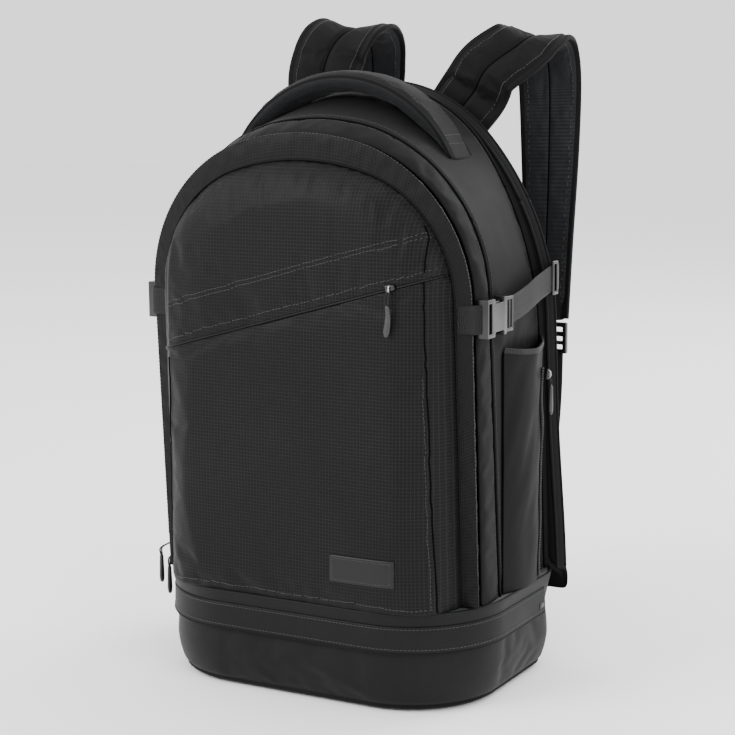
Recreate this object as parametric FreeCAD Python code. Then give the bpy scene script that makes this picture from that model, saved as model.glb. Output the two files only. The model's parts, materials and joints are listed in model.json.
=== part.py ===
import FreeCAD, Part
import math
import os

# Ski boot bag: a daypack with a separate zip-round compartment for boots in its base.
# Millimetres, +Z up, front towards -Y. The origin is on the ground, under the middle of the base.

Vec = FreeCAD.Vector

# ---- base compartment ----
HALF_WIDTH = 170.0        # centre to side
BASE_FRONT = 106.0        # origin to front face
BASE_REAR = 119.0         # origin to rear face
FRONT_CORNER_R = 95.0     # plan radius of the two front corners
REAR_CORNER_R = 38.0      # plan radius of the two rear corners
FLOOR_INSET = 16.0        # how far the sides draw in towards the floor
FLANK_Z = 34.0            # height where the drawn-in sides straighten
ZIP_WAIST = 6.0           # how far the walls draw in at the boot zip, to leave room for the flap
BOOT_ZIP_Z = 64.0         # height of the zip that runs round the base
BASE_TOP_Z = 92.0         # top of the band above the zip
TUB_WALL = 3.0
FLOOR_BOARD_T = 2.5
FLAP_TOP_Z = 80.0         # seam of the storm flap
FLAP_EDGE_Z = 55.0        # its free edge
FLAP_T = 1.6
FLAP_PROUD = 1.0          # inner face of the flap's free edge, outside the base's full width
FLAP_REAR_Y = BASE_REAR - 41.0  # where the flap ends on each side
ZIP_TAPE_T = 1.2
DIVIDER_T = 2.5

# ---- upper body: arches from the front seam to the back panel ----
PACK_TOP_Z = 547.0        # top of the back panel's edge
WALL = 2.6                # padded fabric walls
PANEL_WALL = 3.0          # front panel
ZIP_GAP = 9.0             # width of the main zip's channel
TAPE_INSET = 3.2          # how deep the zip tapes lie in their channel
TAPE_T = 1.4
BACK_PAD_T = 25.0
BACK_PAD_INSET = 12.0     # how far the pad's rear face draws in from its edge
BACK_PAD_FOOT_Z = 66.0
LINING_T = 2.0            # rear wall of the main compartment
FRAME_SHEET_T = 2.0

# ---- opening front ----
FOLD_TOP_Z = 150.0        # the fabric below this folds when the front opens
FRONT_FOOT_Z = 110.0      # lower end of the stiffer pieces that turn with the front
SLANT_LEFT_Z = PACK_TOP_Z - 241.0   # slanted pocket zip at the left seam
SLANT_RIGHT_Z = PACK_TOP_Z - 159.0  # and at the right seam
SLANT_GAP = 5.0
LABEL_W = 62.0
LABEL_H = 24.0
LABEL_T = 1.0
LABEL_X = HALF_WIDTH - 94.0
LABEL_Z = 128.0

# ---- webbing and hardware ----
WEB_W = 25.0
WEB_T = 1.6
BUCKLE_Z = PACK_TOP_Z - 199.0
BUCKLE_FRONT_Y = -BASE_FRONT + 44.0
BUCKLE_L = 38.0           # female half
BUCKLE_W = 33.0
BUCKLE_T = 10.0
BUCKLE_WALL = 1.8
MALE_BASE_L = 17.0
PRONG_L = 24.0
PRONG_W = 3.0
BAR_D = 3.0
RING_Z = PACK_TOP_Z - 178.0
RING_Y = BASE_REAR - 31.0
RING_W = 31.0
RING_H = 12.0

# ---- shoulder straps and handle ----
STRAP_W = 66.0
STRAP_T = 11.0
STRAP_SEAM_T = 2.0        # thickness where a strap folds at its seam
STRAP_END_Z = PACK_TOP_Z - 229.0  # lower end of the padded straps
LOCK_GAP = 1.25           # room for the ladder lock to tilt under the strap's end
HANDLE_HALF_SPAN = 110.0
HANDLE_Y0 = -8.0
HANDLE_Y1 = 34.0
HANDLE_T = 12.0
HANDLE_APEX_Z = PACK_TOP_Z - 2.0  # underside of the handle in the middle
HANDLE_FOOT_T = 8.0       # thickness of its sewn ends
HANDLE_DIP = 6.0          # how far the gusset falls away under the last of each end

# ---- side pockets ----
HEM_Z = PACK_TOP_Z - 233.0
POCKET_Y0 = -BASE_FRONT + 102.0
POCKET_Y1 = BASE_REAR - 35.0
POCKET_SKIN_T = 1.6
POCKET_BULGE_TOP = 13.0
POCKET_BULGE_FOOT = 9.5
SIDE_ZIP_Y = POCKET_Y1 - 22.0
SIDE_ZIP_TOP_Z = HEM_Z - 24.0
SIDE_ZIP_W = 8.0

# ---- zip sliders and pulls ----
SLIDER_L = 9.0
SLIDER_W = 7.0
SLIDER_T = 3.4
HIDDEN_SLIDER_T = 2.6     # flatter sliders of the boot zip, under the flap
PULL_W = 6.0
PULL_T = 3.2
PULL_L = 28.0
CORD_D = 1.8
CORD_L = 12.0
UPPER_SLIDER_Z = 117.0    # the two main zip sliders meet at the lower left
LOWER_SLIDER_Z = 104.0
SLANT_SLIDER_X = HALF_WIDTH - 67.0
SIDE_SLIDER_Z = SIDE_ZIP_TOP_Z - 6.0
BOOT_SLIDER_Y = FLAP_REAR_Y - 8.0

SEAM = 0.25               # clearance between sewn neighbours
CLEAR = 0.4               # clearance between bodies
PAST = 20.0               # how far a cutting shape runs past what it cuts
REACH = HALF_WIDTH + 2 * PAST


def box(x0, x1, y0, y1, z0, z1):
    return Part.makeBox(x1 - x0, y1 - y0, z1 - z0, Vec(x0, y0, z0))


def rod(start, end, diameter):
    axis = end - start
    return Part.makeCylinder(diameter / 2, axis.Length, start, axis)


def loft(wires):
    """Ruled solid through closed outlines, with its faces turned outwards."""
    solid = Part.makeLoft(wires, True, True)
    if solid.Volume < 0:
        solid.reverse()
    return solid


def mirrored(shape):
    """The other hand of a piece, across the bag's middle plane."""
    return shape.mirror(Vec(0, 0, 0), Vec(1, 0, 0))


class Hoop:
    """An arch outline in a plane that leans from foot_y at the base to head_y at the top."""

    def __init__(self, half_width, top_z, foot_y, head_y, shoulder_drop, roundness):
        self.half_width = half_width
        self.top_z = top_z
        self.foot_y = foot_y
        self.head_y = head_y
        self.shoulder_drop = shoulder_drop
        self.crown_r = roundness * half_width

    def y_at(self, z):
        share = (z - BASE_TOP_Z) / (self.top_z - BASE_TOP_Z)
        return self.foot_y + (self.head_y - self.foot_y) * share

    def half_at(self, z):
        """Half width at a height, on the side or on its shoulder arc."""
        rise = max(0.0, z - (self.top_z - self.shoulder_drop))
        side_r = self.side_r()
        return self.half_width - side_r + math.sqrt(side_r ** 2 - rise ** 2)

    def side_r(self):
        w = self.half_width
        drop = self.shoulder_drop
        return (2 * self.crown_r * drop - drop ** 2 - w ** 2) / (2 * (self.crown_r - w))

    def centres(self):
        """Centres of the left shoulder arc and of the crown arc, as x and z."""
        return (self.side_r() - self.half_width, self.top_z - self.shoulder_drop), (0.0, self.top_z - self.crown_r)

    def meet_angle(self):
        """Direction from both centres to the point where the two arcs touch."""
        side, crown = self.centres()
        return math.atan2(abs(crown[1] - side[1]), -abs(side[0]))

    def wire(self, inset=0.0, shift=0.0, foot_z=BASE_TOP_Z):
        w = self.half_width
        side, crown = self.centres()
        meet_a = self.meet_angle()
        mid_a = (math.pi + meet_a) / 2
        r_side = self.side_r() - inset
        r_crown = self.crown_r - inset
        shoulder = (-w + inset, side[1])
        mid = (side[0] + r_side * math.cos(mid_a), side[1] + r_side * math.sin(mid_a))
        meet = (crown[0] + r_crown * math.cos(meet_a), crown[1] + r_crown * math.sin(meet_a))
        top = (0.0, self.top_z - inset)
        half = [(-w + inset, foot_z), shoulder, mid, meet, top]
        left = [Vec(x, self.y_at(z) + shift, z) for x, z in half]
        right = [Vec(-x, self.y_at(z) + shift, z) for x, z in half]
        edges = [
            Part.makeLine(left[0], left[1]),
            Part.Arc(left[1], left[2], left[3]).toShape(),
            Part.Arc(left[3], left[4], right[3]).toShape(),
            Part.Arc(right[3], right[2], right[1]).toShape(),
            Part.makeLine(right[1], right[0]),
            Part.makeLine(right[0], left[0]),
        ]
        return Part.Wire(edges)


FACE_Y = -BASE_FRONT + 5
PANEL_SEAM = Hoop(HALF_WIDTH - 23, PACK_TOP_Z - 66, -BASE_FRONT + 43, -BASE_FRONT + 23, 120.0, 1.53)
PANEL_SHOULDER = Hoop(HALF_WIDTH - 31, PACK_TOP_Z - 77, -BASE_FRONT + 25, -BASE_FRONT + 13, 115.0, 1.53)
PANEL_FACE = Hoop(HALF_WIDTH - 62, PACK_TOP_Z - 108, FACE_Y, FACE_Y + 2, 92.0, 1.45)
MAIN_ZIP = Hoop(HALF_WIDTH - 7, PACK_TOP_Z - 43, -BASE_FRONT + 56, -BASE_FRONT + 35, 145.0, 1.42)
GUSSET_SEAM = Hoop(HALF_WIDTH - 8, PACK_TOP_Z - 31, -BASE_FRONT + 97.5, -BASE_FRONT + 62, 150.0, 1.33)
BACK_SEAM = Hoop(HALF_WIDTH - 12, PACK_TOP_Z - 3, BASE_REAR - 19, BASE_REAR - 51, 226.0, 0.82)
BACK_EDGE = Hoop(HALF_WIDTH - 4, PACK_TOP_Z, BASE_REAR - 11, BASE_REAR - 43, 216.0, 0.83)


def arch_band(front, rear, wall, inset=0.0, front_shift=0.0, rear_shift=0.0, foot_z=BASE_TOP_Z + SEAM):
    """A wall of the given thickness that follows the arches between two hoops, open below."""
    outer = loft([
        front.wire(inset, front_shift, foot_z),
        rear.wire(inset, rear_shift, foot_z),
    ])
    below = foot_z - PAST
    inner = loft([
        front.wire(inset + wall, front_shift - 1, below),
        rear.wire(inset + wall, rear_shift + 1, below),
    ])
    return outer.cut(inner)


def arch_plate(hoop, inset, shift, thickness, foot_z=BASE_TOP_Z + SEAM):
    return loft([
        hoop.wire(inset, shift, foot_z),
        hoop.wire(inset, shift + thickness, foot_z),
    ])


def footprint(inset, z):
    """Plan outline of the base: wide round corners in front, tighter ones behind."""
    w = HALF_WIDTH - inset
    front = -BASE_FRONT + inset
    rear = BASE_REAR - inset
    fr = FRONT_CORNER_R - inset
    rr = REAR_CORNER_R - inset
    k = math.sqrt(0.5)
    points = [
        Vec(-w + fr, front, z), Vec(w - fr, front, z),
        Vec(w - fr + fr * k, front + fr - fr * k, z), Vec(w, front + fr, z),
        Vec(w, rear - rr, z), Vec(w - rr + rr * k, rear - rr + rr * k, z),
        Vec(w - rr, rear, z), Vec(-w + rr, rear, z),
        Vec(-w + rr - rr * k, rear - rr + rr * k, z), Vec(-w, rear - rr, z),
        Vec(-w, front + fr, z), Vec(-w + fr - fr * k, front + fr - fr * k, z),
    ]
    p = points
    return Part.Wire([
        Part.makeLine(p[0], p[1]), Part.Arc(p[1], p[2], p[3]).toShape(),
        Part.makeLine(p[3], p[4]), Part.Arc(p[4], p[5], p[6]).toShape(),
        Part.makeLine(p[6], p[7]), Part.Arc(p[7], p[8], p[9]).toShape(),
        Part.makeLine(p[9], p[10]), Part.Arc(p[10], p[11], p[0]).toShape(),
    ])


def waist(z):
    """Inset of the band's outer face, which draws in from the seam down to the boot zip."""
    return ZIP_WAIST * (BASE_TOP_Z - z) / (BASE_TOP_Z - BOOT_ZIP_Z)


def boot_tub():
    """Lower skin of the base: floor and drawn-in sides up to the zip."""
    outer = loft([
        footprint(FLOOR_INSET, 0),
        footprint(ZIP_WAIST + 1, FLANK_Z),
        footprint(ZIP_WAIST, BOOT_ZIP_Z - CLEAR),
    ])
    inner = loft([
        footprint(FLOOR_INSET + TUB_WALL, TUB_WALL),
        footprint(ZIP_WAIST + 1 + TUB_WALL, FLANK_Z + 1),
        footprint(ZIP_WAIST + TUB_WALL, BOOT_ZIP_Z + 5),
    ])
    return outer.cut(inner)


def floor_board():
    z = TUB_WALL + SEAM
    gap = FLOOR_INSET + TUB_WALL + 1.0
    return loft([footprint(gap, z), footprint(gap, z + FLOOR_BOARD_T)])


def base_band():
    """Ring of fabric above the boot zip, sewn under the upper body."""
    low = BOOT_ZIP_Z - 4
    high = BASE_TOP_Z + 4
    outer = loft([footprint(waist(BOOT_ZIP_Z), BOOT_ZIP_Z), footprint(0, BASE_TOP_Z)])
    inner = loft([footprint(waist(low) + TUB_WALL, low), footprint(waist(high) + TUB_WALL, high)])
    return outer.cut(inner)


def divider_panel():
    """Floor of the main compartment, above the boots."""
    gap = TUB_WALL + SEAM + waist(BASE_TOP_Z - DIVIDER_T)
    return loft([footprint(gap, BASE_TOP_Z - DIVIDER_T), footprint(gap, BASE_TOP_Z)])


def three_sides(z0, z1):
    """Keeps the front and the two sides of a ring, and leaves out its rear."""
    return box(-REACH, REACH, -BASE_FRONT - PAST, FLAP_REAR_Y, z0, z1)


def boot_zip_tape(upper):
    """Three-sided strip of the boot zip, on one of its two tapes."""
    z0 = BOOT_ZIP_Z if upper else BOOT_ZIP_Z - 4.5
    z1 = BOOT_ZIP_Z + 4 if upper else BOOT_ZIP_Z - CLEAR
    inset0 = waist(z0) if upper else ZIP_WAIST
    inset1 = waist(z1) if upper else ZIP_WAIST
    slope = (inset1 - inset0) / (z1 - z0)
    outer = loft([footprint(inset0 - ZIP_TAPE_T, z0), footprint(inset1 - ZIP_TAPE_T, z1)])
    inner = loft([footprint(inset0 - slope - SEAM, z0 - 1), footprint(inset1 + slope - SEAM, z1 + 1)])
    return outer.cut(inner).common(three_sides(z0, z1))


def storm_flap():
    """Flap that covers the boot zip round the front and both sides."""
    top = waist(FLAP_TOP_Z) - SEAM
    edge = -FLAP_PROUD
    slope = (top - edge) / (FLAP_TOP_Z - FLAP_EDGE_Z)
    outer = loft([footprint(edge - FLAP_T, FLAP_EDGE_Z), footprint(top - FLAP_T, FLAP_TOP_Z)])
    inner = loft([footprint(edge - slope, FLAP_EDGE_Z - 1), footprint(top + slope, FLAP_TOP_Z + 1)])
    return outer.cut(inner).common(three_sides(FLAP_EDGE_Z, FLAP_TOP_Z))


def panel_blank(inset):
    """Solid under the crowned front panel, drawn in by a wall's thickness where asked."""
    foot_z = BASE_TOP_Z + SEAM if inset == 0 else BASE_TOP_Z - PAST
    return loft([
        PANEL_SEAM.wire(inset, inset * 0.3, foot_z),
        PANEL_SHOULDER.wire(inset, inset * 0.6, foot_z),
        PANEL_FACE.wire(inset * 0.6, inset, foot_z),
    ])


def behind_panel(margin):
    """Everything behind the panel's seam, or from a margin in front of it."""
    return loft([PANEL_SEAM.wire(-PAST, -margin, 0), PANEL_SEAM.wire(-PAST, 2 * PAST, 0)])


def panel_shell():
    return panel_blank(0).cut(panel_blank(PANEL_WALL)).cut(behind_panel(0))


def slant_slope():
    return (SLANT_RIGHT_Z - SLANT_LEFT_Z) / (2 * PANEL_SEAM.half_width)


def slant_z(x):
    return (SLANT_LEFT_Z + SLANT_RIGHT_Z) / 2 + slant_slope() * x


def slant_wedge(above, gap):
    """Everything above or below the slanted zip line."""
    far = PACK_TOP_Z + PAST if above else -PAST
    step = gap if above else -gap
    front = -BASE_FRONT - PAST
    corners = [
        Vec(-REACH, front, slant_z(-REACH) + step),
        Vec(REACH, front, slant_z(REACH) + step),
        Vec(REACH, front, far),
        Vec(-REACH, front, far),
    ]
    face = Part.Face(Part.makePolygon(corners + corners[:1]))
    return face.extrude(Vec(0, BASE_FRONT + 2 * PAST, 0))


def above_z(z):
    return box(-REACH, REACH, -BASE_FRONT - PAST, BASE_REAR + PAST, z, PACK_TOP_Z + PAST)


def front_panel_pieces():
    """The crowned front panel: a yoke above the slanted zip, a panel below it and the fold."""
    shell = panel_shell()
    yoke = shell.common(slant_wedge(True, SLANT_GAP / 2))
    lower = shell.common(slant_wedge(False, SLANT_GAP / 2))
    panel = lower.common(above_z(FOLD_TOP_Z))
    gusset_foot = pocket_gusset().cut(above_z(FRONT_FOOT_Z - SEAM))
    fold = Part.makeCompound([lower.cut(above_z(FOLD_TOP_Z - SEAM))] + gusset_foot.Solids)
    return yoke, panel, fold


def slant_zip():
    """Tape of the slanted pocket zip, just under the slot between yoke and panel."""
    tape_in = PANEL_WALL + SEAM
    band = panel_blank(tape_in).cut(panel_blank(tape_in + TAPE_T))
    half = SLANT_GAP / 2 + 6
    return band.cut(behind_panel(1)).common(slant_wedge(True, -half)).common(slant_wedge(False, -half))


def pocket_gusset():
    """Border between the front panel's seam and the main zip."""
    return arch_band(PANEL_SEAM, MAIN_ZIP, WALL, 0, SEAM, -ZIP_GAP / 2)


def pocket_back_wall():
    """Lining that closes the front pocket towards the main compartment."""
    return arch_plate(MAIN_ZIP, TAPE_INSET + TAPE_T + SEAM, -ZIP_GAP / 2, 1.8, FRONT_FOOT_Z)


def zip_tape(front_half):
    foot = FRONT_FOOT_Z if front_half else BASE_TOP_Z + SEAM
    shifts = (-ZIP_GAP / 2, -CLEAR / 2) if front_half else (CLEAR / 2, ZIP_GAP / 2)
    return arch_band(MAIN_ZIP, MAIN_ZIP, TAPE_T, TAPE_INSET, shifts[0], shifts[1], foot)


def zip_band():
    return arch_band(MAIN_ZIP, GUSSET_SEAM, WALL, 0, ZIP_GAP / 2 + SEAM, -SEAM)


def main_gusset():
    return arch_band(GUSSET_SEAM, BACK_SEAM, WALL, 0, 0, -SEAM)


def frame_sheet():
    """Plate in the back that keeps the load off the wearer."""
    return arch_plate(BACK_SEAM, WALL + 6, -FRAME_SHEET_T - SEAM, FRAME_SHEET_T, BASE_TOP_Z + 1)


def back_lining():
    """Rear wall of the main compartment."""
    return arch_plate(BACK_SEAM, 0, 0, LINING_T)


def back_pad():
    """Padded back panel with spacer mesh; its foot hangs a little over the rear of the base."""
    front = BACK_SEAM.foot_y + LINING_T + SEAM - BACK_EDGE.foot_y
    foot = BACK_PAD_FOOT_Z
    pad = loft([
        BACK_EDGE.wire(5, front, foot + 8),
        BACK_EDGE.wire(0, 0, foot + 4),
        BACK_EDGE.wire(3, BACK_PAD_T * 0.7, foot),
        BACK_EDGE.wire(BACK_PAD_INSET, BACK_PAD_T, foot + 14),
    ])
    return pad.cut(box(-REACH, REACH, 0, BASE_REAR + CLEAR, 0, BASE_TOP_Z + SEAM))


def label_patch():
    y = PANEL_FACE.y_at(LABEL_Z - LABEL_H / 2) - LABEL_T - SEAM
    return box(LABEL_X - LABEL_W / 2, LABEL_X + LABEL_W / 2, y, y + LABEL_T,
               LABEL_Z - LABEL_H / 2, LABEL_Z + LABEL_H / 2)


def pocket_profile(bulge, x_out, z):
    """Crescent section of a side pocket's skin."""
    front = Vec(x_out, POCKET_Y0, z)
    rear = Vec(x_out - 2, POCKET_Y1, z)
    mid_y = (POCKET_Y0 + POCKET_Y1) / 2
    mid = Vec(x_out + bulge, mid_y, z)
    t = POCKET_SKIN_T
    front_in = Vec(x_out, POCKET_Y0 + 2.4, z)
    rear_in = Vec(x_out - 2, POCKET_Y1 - 2.4, z)
    mid_in = Vec(x_out + bulge - t, mid_y, z)
    return Part.Wire([
        Part.Arc(front, mid, rear).toShape(),
        Part.makeLine(rear, rear_in),
        Part.Arc(rear_in, mid_in, front_in).toShape(),
        Part.makeLine(front_in, front),
    ])


def side_pocket():
    """Stretch pocket for a bottle, open at its hem."""
    x_out = HALF_WIDTH - 8 + CLEAR
    return loft([
        pocket_profile(POCKET_BULGE_FOOT, x_out, BASE_TOP_Z + SEAM),
        pocket_profile(POCKET_BULGE_TOP, x_out, HEM_Z),
    ])


def pocket_surface_x(y, z):
    """Outer face of the right side pocket at a place on it."""
    share = (z - BASE_TOP_Z) / (HEM_Z - BASE_TOP_Z)
    bulge = POCKET_BULGE_FOOT + (POCKET_BULGE_TOP - POCKET_BULGE_FOOT) * share
    half = (POCKET_Y1 - POCKET_Y0) / 2
    along = (y - (POCKET_Y0 + POCKET_Y1) / 2) / half
    chord = HALF_WIDTH - 8 + CLEAR - 1 - along
    return chord + (bulge + 1) * (1 - along ** 2) + 0.42


def side_zip():
    """Vertical zip on the rear part of the side pocket."""
    z0 = BASE_TOP_Z + 4
    wires = []
    for z in (z0, SIDE_ZIP_TOP_Z):
        xa = pocket_surface_x(SIDE_ZIP_Y - SIDE_ZIP_W / 2, z)
        xb = pocket_surface_x(SIDE_ZIP_Y + SIDE_ZIP_W / 2, z)
        a = Vec(xa, SIDE_ZIP_Y - SIDE_ZIP_W / 2, z)
        b = Vec(xb, SIDE_ZIP_Y + SIDE_ZIP_W / 2, z)
        out = Vec(ZIP_TAPE_T, 0, 0)
        wires.append(Part.makePolygon([a, b, b + out, a + out, a]))
    return loft(wires)


def slider(at, along, outward, thickness=SLIDER_T):
    """Zip slider with its inner face at a point: square tail, narrower nose."""
    side = along.cross(outward)
    tail = along * (-SLIDER_L / 2)
    nose = along * (SLIDER_L / 2)
    wide = side * (SLIDER_W / 2)
    narrow = side * (SLIDER_W / 2 - 1.6)
    corners = [at + tail - wide, at + tail + wide, at + nose + narrow, at + nose - narrow]
    return Part.Face(Part.makePolygon(corners + corners[:1])).extrude(outward * thickness)


def pull(top, grip_top, outward):
    """Cord and moulded grip that hang from a slider; the grip faces outward."""
    down = Vec(0, 0, -1)
    side = down.cross(outward)
    wide = side * (PULL_W / 2)
    neck = side * (PULL_W / 2 - 1.2)
    base = grip_top - outward * (PULL_T / 2)
    waist_at = base + down * (PULL_L * 0.45)
    swell = base + down * (PULL_L - 5)
    tip = base + down * PULL_L
    corners = [
        base - neck, waist_at - neck, swell - wide, tip - neck,
        tip + neck, swell + wide, waist_at + neck, base + neck,
    ]
    grip = Part.Face(Part.makePolygon(corners + corners[:1])).extrude(outward * PULL_T)
    cord = rod(top, grip_top + down * 1.0, CORD_D)
    return cord.fuse(grip).removeSplitter()


def main_zip_point(z):
    """Outer face of the main zip's tapes on the left side."""
    return Vec(-MAIN_ZIP.half_width + TAPE_INSET - CLEAR, MAIN_ZIP.y_at(z), z)


def main_zip_run():
    """Direction of the main zip's straight run up the side."""
    return (main_zip_point(300) - main_zip_point(200)).normalize()


def main_slider(z):
    return slider(main_zip_point(z), main_zip_run(), Vec(-1, 0, 0))


def main_pull(z, step_out, step_y):
    at = main_zip_point(z)
    top = at + Vec(-SLIDER_T - CORD_D / 2 - 0.3, 0, -SLIDER_L / 2 + 1)
    grip_top = top + Vec(-step_out, step_y, -CORD_L)
    return pull(top, grip_top, Vec(-1, 0, 0))


def slant_face(x):
    """Place on the panel's face, just in front of the slanted zip."""
    z = slant_z(x)
    return Vec(x, PANEL_FACE.y_at(z) - CLEAR, z)


def slant_run():
    return (slant_face(1) - slant_face(0)).normalize()


def slant_point():
    return slant_face(SLANT_SLIDER_X)


def slant_slider():
    return slider(slant_point(), slant_run(), Vec(0, -1, 0))


def slant_pull():
    top = slant_point() + Vec(-1, -SLIDER_T - CORD_D / 2 - 0.3, -2)
    return pull(top, top + Vec(0, -1.6, -CORD_L), Vec(0, -1, 0))


def side_zip_point(z):
    tape_x = pocket_surface_x(SIDE_ZIP_Y - SLIDER_W / 2, z)
    return Vec(tape_x + ZIP_TAPE_T + CLEAR, SIDE_ZIP_Y, z)


def side_zip_run():
    return (side_zip_point(280) - side_zip_point(120)).normalize()


def side_slider():
    return slider(side_zip_point(SIDE_SLIDER_Z), side_zip_run(), Vec(1, 0, 0))


def side_pull():
    top = side_zip_point(SIDE_SLIDER_Z) + Vec(SLIDER_T + CORD_D / 2 + 0.3, 0, -SLIDER_L / 2 + 1)
    return pull(top, top + Vec(0.8, 0, -CORD_L * 0.5), Vec(1, 0, 0))


def boot_slider():
    """Flat slider of the boot zip on the right, under the storm flap."""
    x = HALF_WIDTH - waist(BOOT_ZIP_Z + SLIDER_W / 2) + ZIP_TAPE_T + CLEAR
    return slider(Vec(x, BOOT_SLIDER_Y, BOOT_ZIP_Z), Vec(0, 1, 0), Vec(1, 0, 0), HIDDEN_SLIDER_T)


def buckle_female(x0):
    """Female half: a flat sleeve with side windows, and the bar that the front tab loops on."""
    y0 = BUCKLE_FRONT_Y
    y1 = y0 + BUCKLE_L
    z0 = BUCKLE_Z - BUCKLE_W / 2
    z1 = BUCKLE_Z + BUCKLE_W / 2
    bar_l = 9.0
    body = box(x0, x0 + BUCKLE_T, y0, y1, z0, z1)
    slot = box(x0 - 1, x0 + BUCKLE_T + 1, y0 + BAR_D, y0 + bar_l, z0 + 3.5, z1 - 3.5)
    sleeve = box(x0 + BUCKLE_WALL, x0 + BUCKLE_T - BUCKLE_WALL, y0 + bar_l + 3, y1 + 1, z0 + 2.4, z1 - 2.4)
    shape = body.cut(slot).cut(sleeve)
    for z in (z0, z1):
        window = Part.makeCylinder(9.0, BUCKLE_T + 2, Vec(x0 - 1, y0 + 24, z), Vec(1, 0, 0))
        near_edge = box(x0 - 2, x0 + BUCKLE_T + 2, y0 + 14, y0 + 34, z - 4.2, z + 4.2)
        shape = shape.cut(window.common(near_edge))
    return shape


def buckle_male(x0):
    """Base of the male half, with the ladder bars for the webbing."""
    y0 = BUCKLE_FRONT_Y + BUCKLE_L + CLEAR
    y1 = y0 + MALE_BASE_L
    half = BUCKLE_W / 2 - 1.0
    plate = box(x0 + 1.6, x0 + BUCKLE_T - 1.6, y0, y1, BUCKLE_Z - half, BUCKLE_Z + half)
    for start in (y0 + 5.0, y0 + 11.0):
        slot = box(x0, x0 + BUCKLE_T, start, start + 3.6, BUCKLE_Z - half + 3, BUCKLE_Z + half - 3)
        plate = plate.cut(slot)
    return plate


def buckle_prongs(x0):
    """The two spring prongs and the guide tongue inside the female half."""
    y1 = BUCKLE_FRONT_Y + BUCKLE_L + CLEAR - 0.05
    y0 = y1 - PRONG_L
    xa = x0 + BUCKLE_WALL + 0.8
    xb = x0 + BUCKLE_T - BUCKLE_WALL - 0.8
    tongue = box(xa + 1, xb - 1, y0 + 4, y1, BUCKLE_Z - 2, BUCKLE_Z + 2)
    reach = BUCKLE_W / 2 - 3.2
    low = box(xa, xb, y0, y1, BUCKLE_Z - reach, BUCKLE_Z - reach + PRONG_W)
    high = box(xa, xb, y0, y1, BUCKLE_Z + reach - PRONG_W, BUCKLE_Z + reach)
    return Part.makeCompound([low, tongue, high])


def strip(points, width_axis, width, thickness):
    """Flat webbing along straight runs, centred on its points."""
    half = width_axis * (width / 2)
    normals = []
    for i in range(len(points)):
        before = points[max(i - 1, 0)]
        after = points[min(i + 1, len(points) - 1)]
        normal = (after - before).cross(width_axis)
        normals.append(normal.normalize() * (thickness / 2))
    wires = []
    for p, n in zip(points, normals):
        wires.append(Part.makePolygon([p - half - n, p + half - n, p + half + n, p - half + n, p - half - n]))
    return loft(wires)


def front_tab(x0):
    """Sewn loop of webbing from the panel seam to the buckle's bar."""
    z = BUCKLE_Z
    seam = Vec(PANEL_SEAM.half_at(z), PANEL_SEAM.y_at(z), z)
    edge = Vec(MAIN_ZIP.half_at(z), MAIN_ZIP.y_at(z) - ZIP_GAP / 2, z)
    run = (edge - seam).normalize()
    out = run.cross(Vec(0, 0, 1)).normalize() * (WEB_T / 2 + 0.6)
    points = [seam + run * 0.8 + out, edge + out, Vec(x0 + BUCKLE_T / 2, BUCKLE_FRONT_Y - 0.8, z)]
    return strip(points, Vec(0, 0, 1), WEB_W, WEB_T)


def side_webbing(x0):
    """Webbing from the male half back and up to the ring on the back panel's edge."""
    bar_y = BUCKLE_FRONT_Y + BUCKLE_L + CLEAR + MALE_BASE_L
    start = Vec(x0 + BUCKLE_T / 2, bar_y + 0.4, BUCKLE_Z + 1)
    end = Vec(ring_x() - 1.5, RING_Y - RING_H / 2 - 0.6, RING_Z)
    middle = (start + end) * 0.5 + Vec(0.6, 0, 0)
    return strip([start, middle, end], Vec(0, 0, 1), WEB_W - 1, WEB_T)


def ring_x():
    return HALF_WIDTH + 1.0


def ring():
    """Rectangular ring that turns the side webbing at the back panel's edge."""
    x = ring_x() - BAR_D / 2
    y0 = RING_Y - RING_H / 2
    frame = box(x, x + BAR_D, y0, y0 + RING_H, RING_Z - RING_W / 2, RING_Z + RING_W / 2)
    hole = box(x - 1, x + BAR_D + 1, y0 + BAR_D, y0 + RING_H - BAR_D,
               RING_Z - RING_W / 2 + BAR_D, RING_Z + RING_W / 2 - BAR_D)
    return frame.cut(hole)


def ring_tab():
    """Short loop that sews the ring to the edge of the back panel."""
    start = Vec(ring_x() - 0.4, RING_Y + RING_H / 2 + 0.9, RING_Z)
    low_z = RING_Z - WEB_W / 2
    end = Vec(BACK_EDGE.half_at(low_z) - 0.8, BACK_EDGE.y_at(RING_Z) + 15, RING_Z)
    return strip([start, end], Vec(0, 0, 1), WEB_W, WEB_T)


def strap_sections(stations, seam):
    """Corners of a padded strap at its stations: centre, then the direction of its width.

    The section numbered seam lies along the seam that joins the strap to its root, and is as thin.
    """
    sections = []
    for i, (centre, wide) in enumerate(stations):
        before = stations[max(i - 1, 0)][0]
        after = stations[min(i + 1, len(stations) - 1)][0]
        run = (after - before).normalize()
        skew = 0.0 if i == seam else wide.dot(run)
        across = (wide - run * skew).normalize()
        thickness = STRAP_SEAM_T if i == seam else STRAP_T
        thick = across.cross(run).normalize() * (thickness / 2)
        half = across * (STRAP_W / 2)
        sections.append([
            centre - half - thick, centre + half - thick,
            centre + half + thick, centre - half + thick,
        ])
    return sections


def triangle(a, b, c):
    return Part.Face(Part.makePolygon([a, b, c, a]))


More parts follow.
